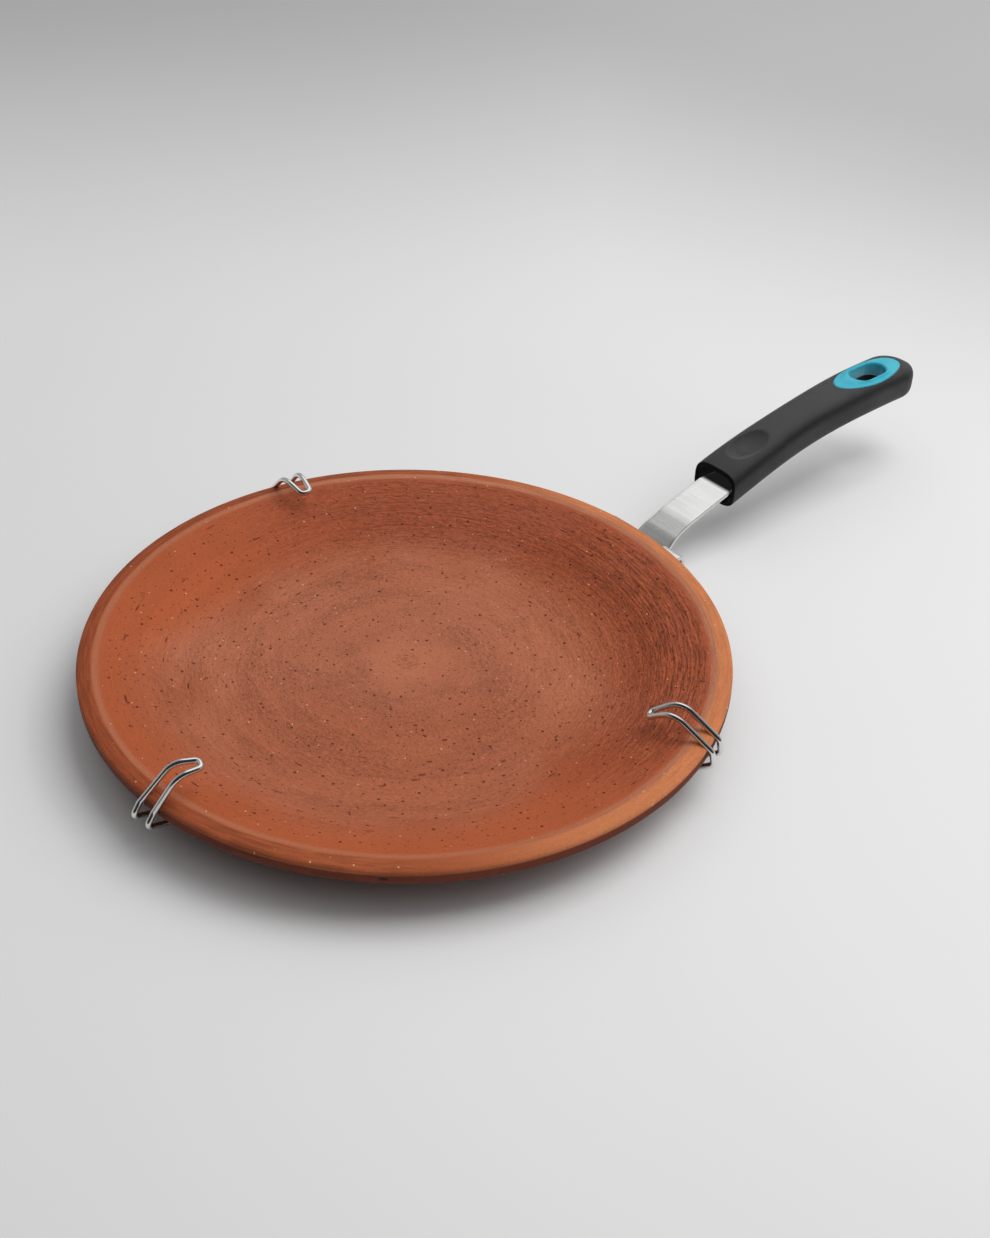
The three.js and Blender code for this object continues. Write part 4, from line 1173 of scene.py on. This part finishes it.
def build_grip():
    rows = []
    # The hollow mouth, from its back wall out to its edge
    for x in np.linspace(GRIP_START + GRIP_MOUTH_DEPTH, GRIP_START + GRIP_EDGE_ROUND, MOUTH_STEPS):
        rows.append(grip_ring(x, GRIP_MOUTH_WALL))
    # The rounded edge of the mouth
    half_wall = GRIP_MOUTH_WALL / 2
    for turn in np.radians(np.linspace(0, 180, MOUTH_EDGE_STEPS)[1:-1]):
        inset = half_wall + half_wall * math.cos(turn)
        rows.append(grip_ring(GRIP_START + GRIP_EDGE_ROUND * (1 - math.sin(turn)), inset))
    straight_end = GRIP_END - GRIP_END_ROUND
    for x in np.arange(GRIP_START + GRIP_EDGE_ROUND, straight_end, GRIP_STEP):
        rows.append(dimple(grip_ring(x, 0)))
    for turn in np.linspace(0, 0.985, GRIP_END_STEPS) * (math.pi / 2):
        rows.append(grip_ring(straight_end + GRIP_END_ROUND * math.sin(turn), 0))
    grip = skinned("grip_body", rows, 35)
    hang_top = grip_top(HANG_X, 0)
    cut_top = hang_top + HOLE_CUT_RISE
    collar_wall = LINING_WALL + SEAT_GAP
    collar = long_round(HANG_LENGTH + 2 * collar_wall, HANG_WIDTH + 2 * collar_wall, HOLE_SIDES)
    cut(grip, flange_cutter())
    cut(grip, upright_cutter("collar_cutter", collar, hang_top - LINING_DEPTH - SEAT_GAP, cut_top))
    hole = long_round(HANG_LENGTH, HANG_WIDTH, HOLE_SIDES)
    cut(grip, upright_cutter("hole_cutter", hole, CUT_LOW, cut_top))
    screw_x, seat, _ = screw_places()
    angles = turns(SCREW_SIDES)
    room = SCREW_HEAD_DIAMETER / 2 + SEAT_GAP
    circle = np.stack([screw_x + room * np.cos(angles), room * np.sin(angles)], axis=1)
    cut(grip, upright_cutter("screw_cutter", circle, CUT_LOW, seat + SEAT_GAP))
    finish_edges(grip, 35)
    # The strap mirrors the room, not the black mouth beside it
    grip.visible_glossy = False
    place(grip, "grip", soft_touch_surface())


def build_lining():
    """A flange that follows the grip's top, a rounded lip and a collar that lines the hole."""
    count = LINING_SIDES
    outer = oval(LINING_FLANGE_LENGTH, LINING_FLANGE_WIDTH, count)
    hole = long_round(HANG_LENGTH, HANG_WIDTH, count)
    back = long_round(HANG_LENGTH + 2 * LINING_WALL, HANG_WIDTH + 2 * LINING_WALL, count)
    low = grip_top(HANG_X, 0) - LINING_DEPTH
    rows = []

    def ring(plan, drop):
        return np.array([(x, y, grip_top(x, y) - drop) for x, y in plan])

    def inward(share):
        return outer + (hole - outer) * share

    # Up the outer edge, over the top, round the lip and down the hole
    for share, drop in [(0, LINING_FLANGE_THICKNESS), (0, 0.5), (0.008, 0.2), (0.03, 0.03)]:
        rows.append(ring(inward(share), drop))
    for share in np.linspace(0.06, 0.74, 14):
        rows.append(ring(inward(share), -0.02 - LINING_LIP_RISE * smooth_step(share, 0.3, 0.78)))
    for turn in np.radians(np.linspace(0, 90, 9)):
        wider = 2 * LINING_LIP * (1 - math.sin(turn))
        plan = long_round(HANG_LENGTH + wider, HANG_WIDTH + wider, count)
        rows.append(ring(plan, LINING_LIP * (1 - math.cos(turn)) - 0.02 - LINING_LIP_RISE))
    for share, rise in [(0, 0.4), (0.25, 0), (0.9, 0), (1, 0.4)]:
        rows.append(at_height(hole + (back - hole) * share, low + rise))
    rows.append(ring(back, LINING_FLANGE_THICKNESS))
    lining = skinned("hole_lining", rows, 50, closed=True)
    place(lining, "hang_hole_lining", blue_surface())


def build_screw(material):
    x, seat, tip = screw_places()
    head = SCREW_HEAD_DIAMETER / 2
    shank = SCREW_DIAMETER / 2
    bottom = seat - SCREW_HEAD_HEIGHT
    profile = [(0.3, bottom), (head * 0.72, bottom), (head * 0.92, bottom + 0.25), (head, bottom + 0.7)]
    profile += [(head, seat), (shank, seat), (shank, tip - SCREW_POINT), (0.5, tip)]
    shift = np.array([x, 0, 0])
    screw = skinned("screw_body", [row + shift for row in turned(profile, SCREW_SIDES)], 40)
    # A cross recess for the driver
    for long, short in [(RECESS_HALF_LENGTH, RECESS_HALF_WIDTH), (RECESS_HALF_WIDTH, RECESS_HALF_LENGTH)]:
        slot = np.array([(x + long, short), (x - long, short), (x - long, -short), (x + long, -short)])
        cut(screw, upright_cutter("driver_cutter", slot, bottom - 1, bottom + RECESS_DEPTH))
    finish_edges(screw, 40)
    place(screw, "grip_screw", material)


# Scene

# The camera's own axes in the row frame: the handle points away from it and to the right
VIEW_TURN = math.radians(-42.7)
CAMERA_PITCH = math.radians(36.706)
CAMERA_ROLL = math.radians(2.181)
CAMERA_DISTANCE = 744.5
CAMERA_SLIDE = (-37.87, -9.11)
CAMERA_AIM_HEIGHT = 26
CAMERA_LENS = 50
CAMERA_SENSOR = 36

# Light: the levels of the room, and the levels that the steel mirrors
WALL_LEVEL = 0.45
ROOM_BRIGHT = 0.62
ROOM_DIM = 0.02
MIRROR_BRIGHT = 1.2
MIRROR_SIDE = 0.42
MIRROR_DIM = 0.03

# Soft square panels: each one's place and size in metres, and its power in watts.
# A place is to the camera's right, away from it and up. The broad panel is high up on the right.
PANELS = {
    "back_panel": ((1.0, 0.45, 2.3), 1.8, 32),
    "side_panel": ((1.8, 0.2, 1.5), 1.0, 6),
}


def build_floor():
    size = 4000
    points = [(-size, -size, 0), (size, -size, 0), (size, size, 0), (-size, size, 0)]
    floor = new_mesh("floor", points, [(0, 1, 2, 3)], 30)
    surface = Surface("pale_floor")
    x, y, _ = surface.parts(surface.place)
    # Painted light falloff: the paper fades towards the back and the near edge, as seen along the view, and
    # is lighter towards the right
    away = y * math.cos(VIEW_TURN) - x * math.sin(VIEW_TURN)
    across = x * math.cos(VIEW_TURN) + y * math.sin(VIEW_TURN)
    far = away + surface.most(across - 100, 0) * 0.8
    painted_falloff = surface.ramp(far, 300, 1000, 1, 0.62) * surface.ramp(away, -450, -160, 0.9, 1)
    side = surface.ramp(across, -300, 350, 0.93, 1.05)
    mottle = surface.ramp(surface.noise(surface.place, 0.003, 2, 0.5), 0.3, 0.7, 0.99, 1.01)
    colour = surface.scaled(linear(233, 233, 233)[:3], painted_falloff * side * mottle)
    floor.data.materials.append(surface.finish(colour, 0.9, specular=0.1))


def view_to_row(vector):
    return Matrix.Rotation(VIEW_TURN, 3, "Z") @ Vector(vector)


def build_camera():
    forward = Vector((0, math.cos(CAMERA_PITCH), -math.sin(CAMERA_PITCH)))
    level_up = Vector((0, math.sin(CAMERA_PITCH), math.cos(CAMERA_PITCH)))
    level_right = Vector((1, 0, 0))
    right = math.cos(CAMERA_ROLL) * level_right + math.sin(CAMERA_ROLL) * level_up
    up = math.cos(CAMERA_ROLL) * level_up - math.sin(CAMERA_ROLL) * level_right
    aim = Vector((0, 0, CAMERA_AIM_HEIGHT)) - CAMERA_SLIDE[0] * right - CAMERA_SLIDE[1] * up
    centre = aim - CAMERA_DISTANCE * forward
    data = bpy.data.cameras.new("camera")
    data.lens = CAMERA_LENS
    data.sensor_fit = "VERTICAL"
    data.sensor_height = CAMERA_SENSOR
    data.clip_start = 0.01
    data.clip_end = 50
    camera = add_object("camera", data)
    turn = Matrix((view_to_row(right), view_to_row(up), view_to_row(-forward))).transposed()
    camera.matrix_world = Matrix.Translation(view_to_row(centre) * MM) @ turn.to_4x4()
    bpy.context.scene.camera = camera


def soft_light(name, spot, size, power):
    """A panel that faces the middle of the pan's base."""
    data = bpy.data.lights.new(name, "AREA")
    data.shape = "SQUARE"
    data.size = size
    data.energy = power
    light = add_object(name, data)
    light.visible_glossy = False
    light.location = view_to_row(spot)
    light.rotation_euler = (-light.location).to_track_quat("-Z", "Y").to_euler()


def view_direction(side, rise):
    """A direction given by its turn from the camera's right and its rise, in degrees."""
    turn = math.radians(side)
    lift = math.radians(rise)
    return view_to_row((math.cos(turn) * math.cos(lift), math.sin(turn) * math.cos(lift), math.sin(lift)))


def build_world():
    """A room that is brightest above. The steel mirrors a bright panel at the back and a dark front."""
    world = bpy.data.worlds.new("studio")
    world.use_nodes = True
    bpy.context.scene.world = world
    nodes = Nodes(world.node_tree)
    outlook = nodes.give("Generated", "ShaderNodeTexCoord", {})

    def glow(direction, outer, inner, outer_level, inner_level):
        """A level that changes from the edge of a round area to its middle."""
        inputs = {0: outlook, 1: direction}
        facing = nodes.give("Value", "ShaderNodeVectorMath", inputs, operation="DOT_PRODUCT")
        edge = math.cos(math.radians(outer))
        middle = math.cos(math.radians(inner))
        return nodes.ramp(facing, edge, middle, outer_level, inner_level)

    room = glow(view_direction(45, 72), 82, 35, ROOM_DIM, ROOM_BRIGHT)
    back = glow(view_direction(70, 55), 34, 26, 0, MIRROR_BRIGHT)
    front = glow(view_direction(-90, 30), 90, 40, MIRROR_SIDE, MIRROR_DIM)
    mirrored = nodes.give("Is Glossy Ray", "ShaderNodeLightPath", {})
    level = nodes.give(0, "ShaderNodeMix", {0: mirrored, 2: room, 3: nodes.most(back, front)})
    # Behind the floor's far edge the camera sees a plain pale wall
    seen = nodes.give("Is Camera Ray", "ShaderNodeLightPath", {})
    level = nodes.give(0, "ShaderNodeMix", {0: seen, 2: level, 3: WALL_LEVEL})
    background = world.node_tree.nodes["Background"]
    nodes.feed(background.inputs["Strength"], level)
    nodes.feed(background.inputs["Color"], (1, 1, 1, 1))


def build_light():
    for name, (spot, size, power) in PANELS.items():
        soft_light(name, spot, size, power)
    build_world()


def build_all():
    polished = polished_surface()
    sheet = brushed_surface("brushed_sheet", level=222, spread=0.14)
    fastener = brushed_surface("fastener_steel", level=200, spread=0.1)
    build_pan()
    build_ring(polished)
    for side in CLIPS:
        build_clip(side, polished)
    build_arm(polished)
    build_bracket(sheet)
    build_strap(sheet)
    for side, sign in [("left", 1), ("right", -1)]:
        build_rivet(side, sign, fastener)
    build_grip()
    build_lining()
    build_screw(fastener)
    build_floor()
    build_camera()
    build_light()


build_all()
bpy.context.scene.view_settings.view_transform = "Standard"
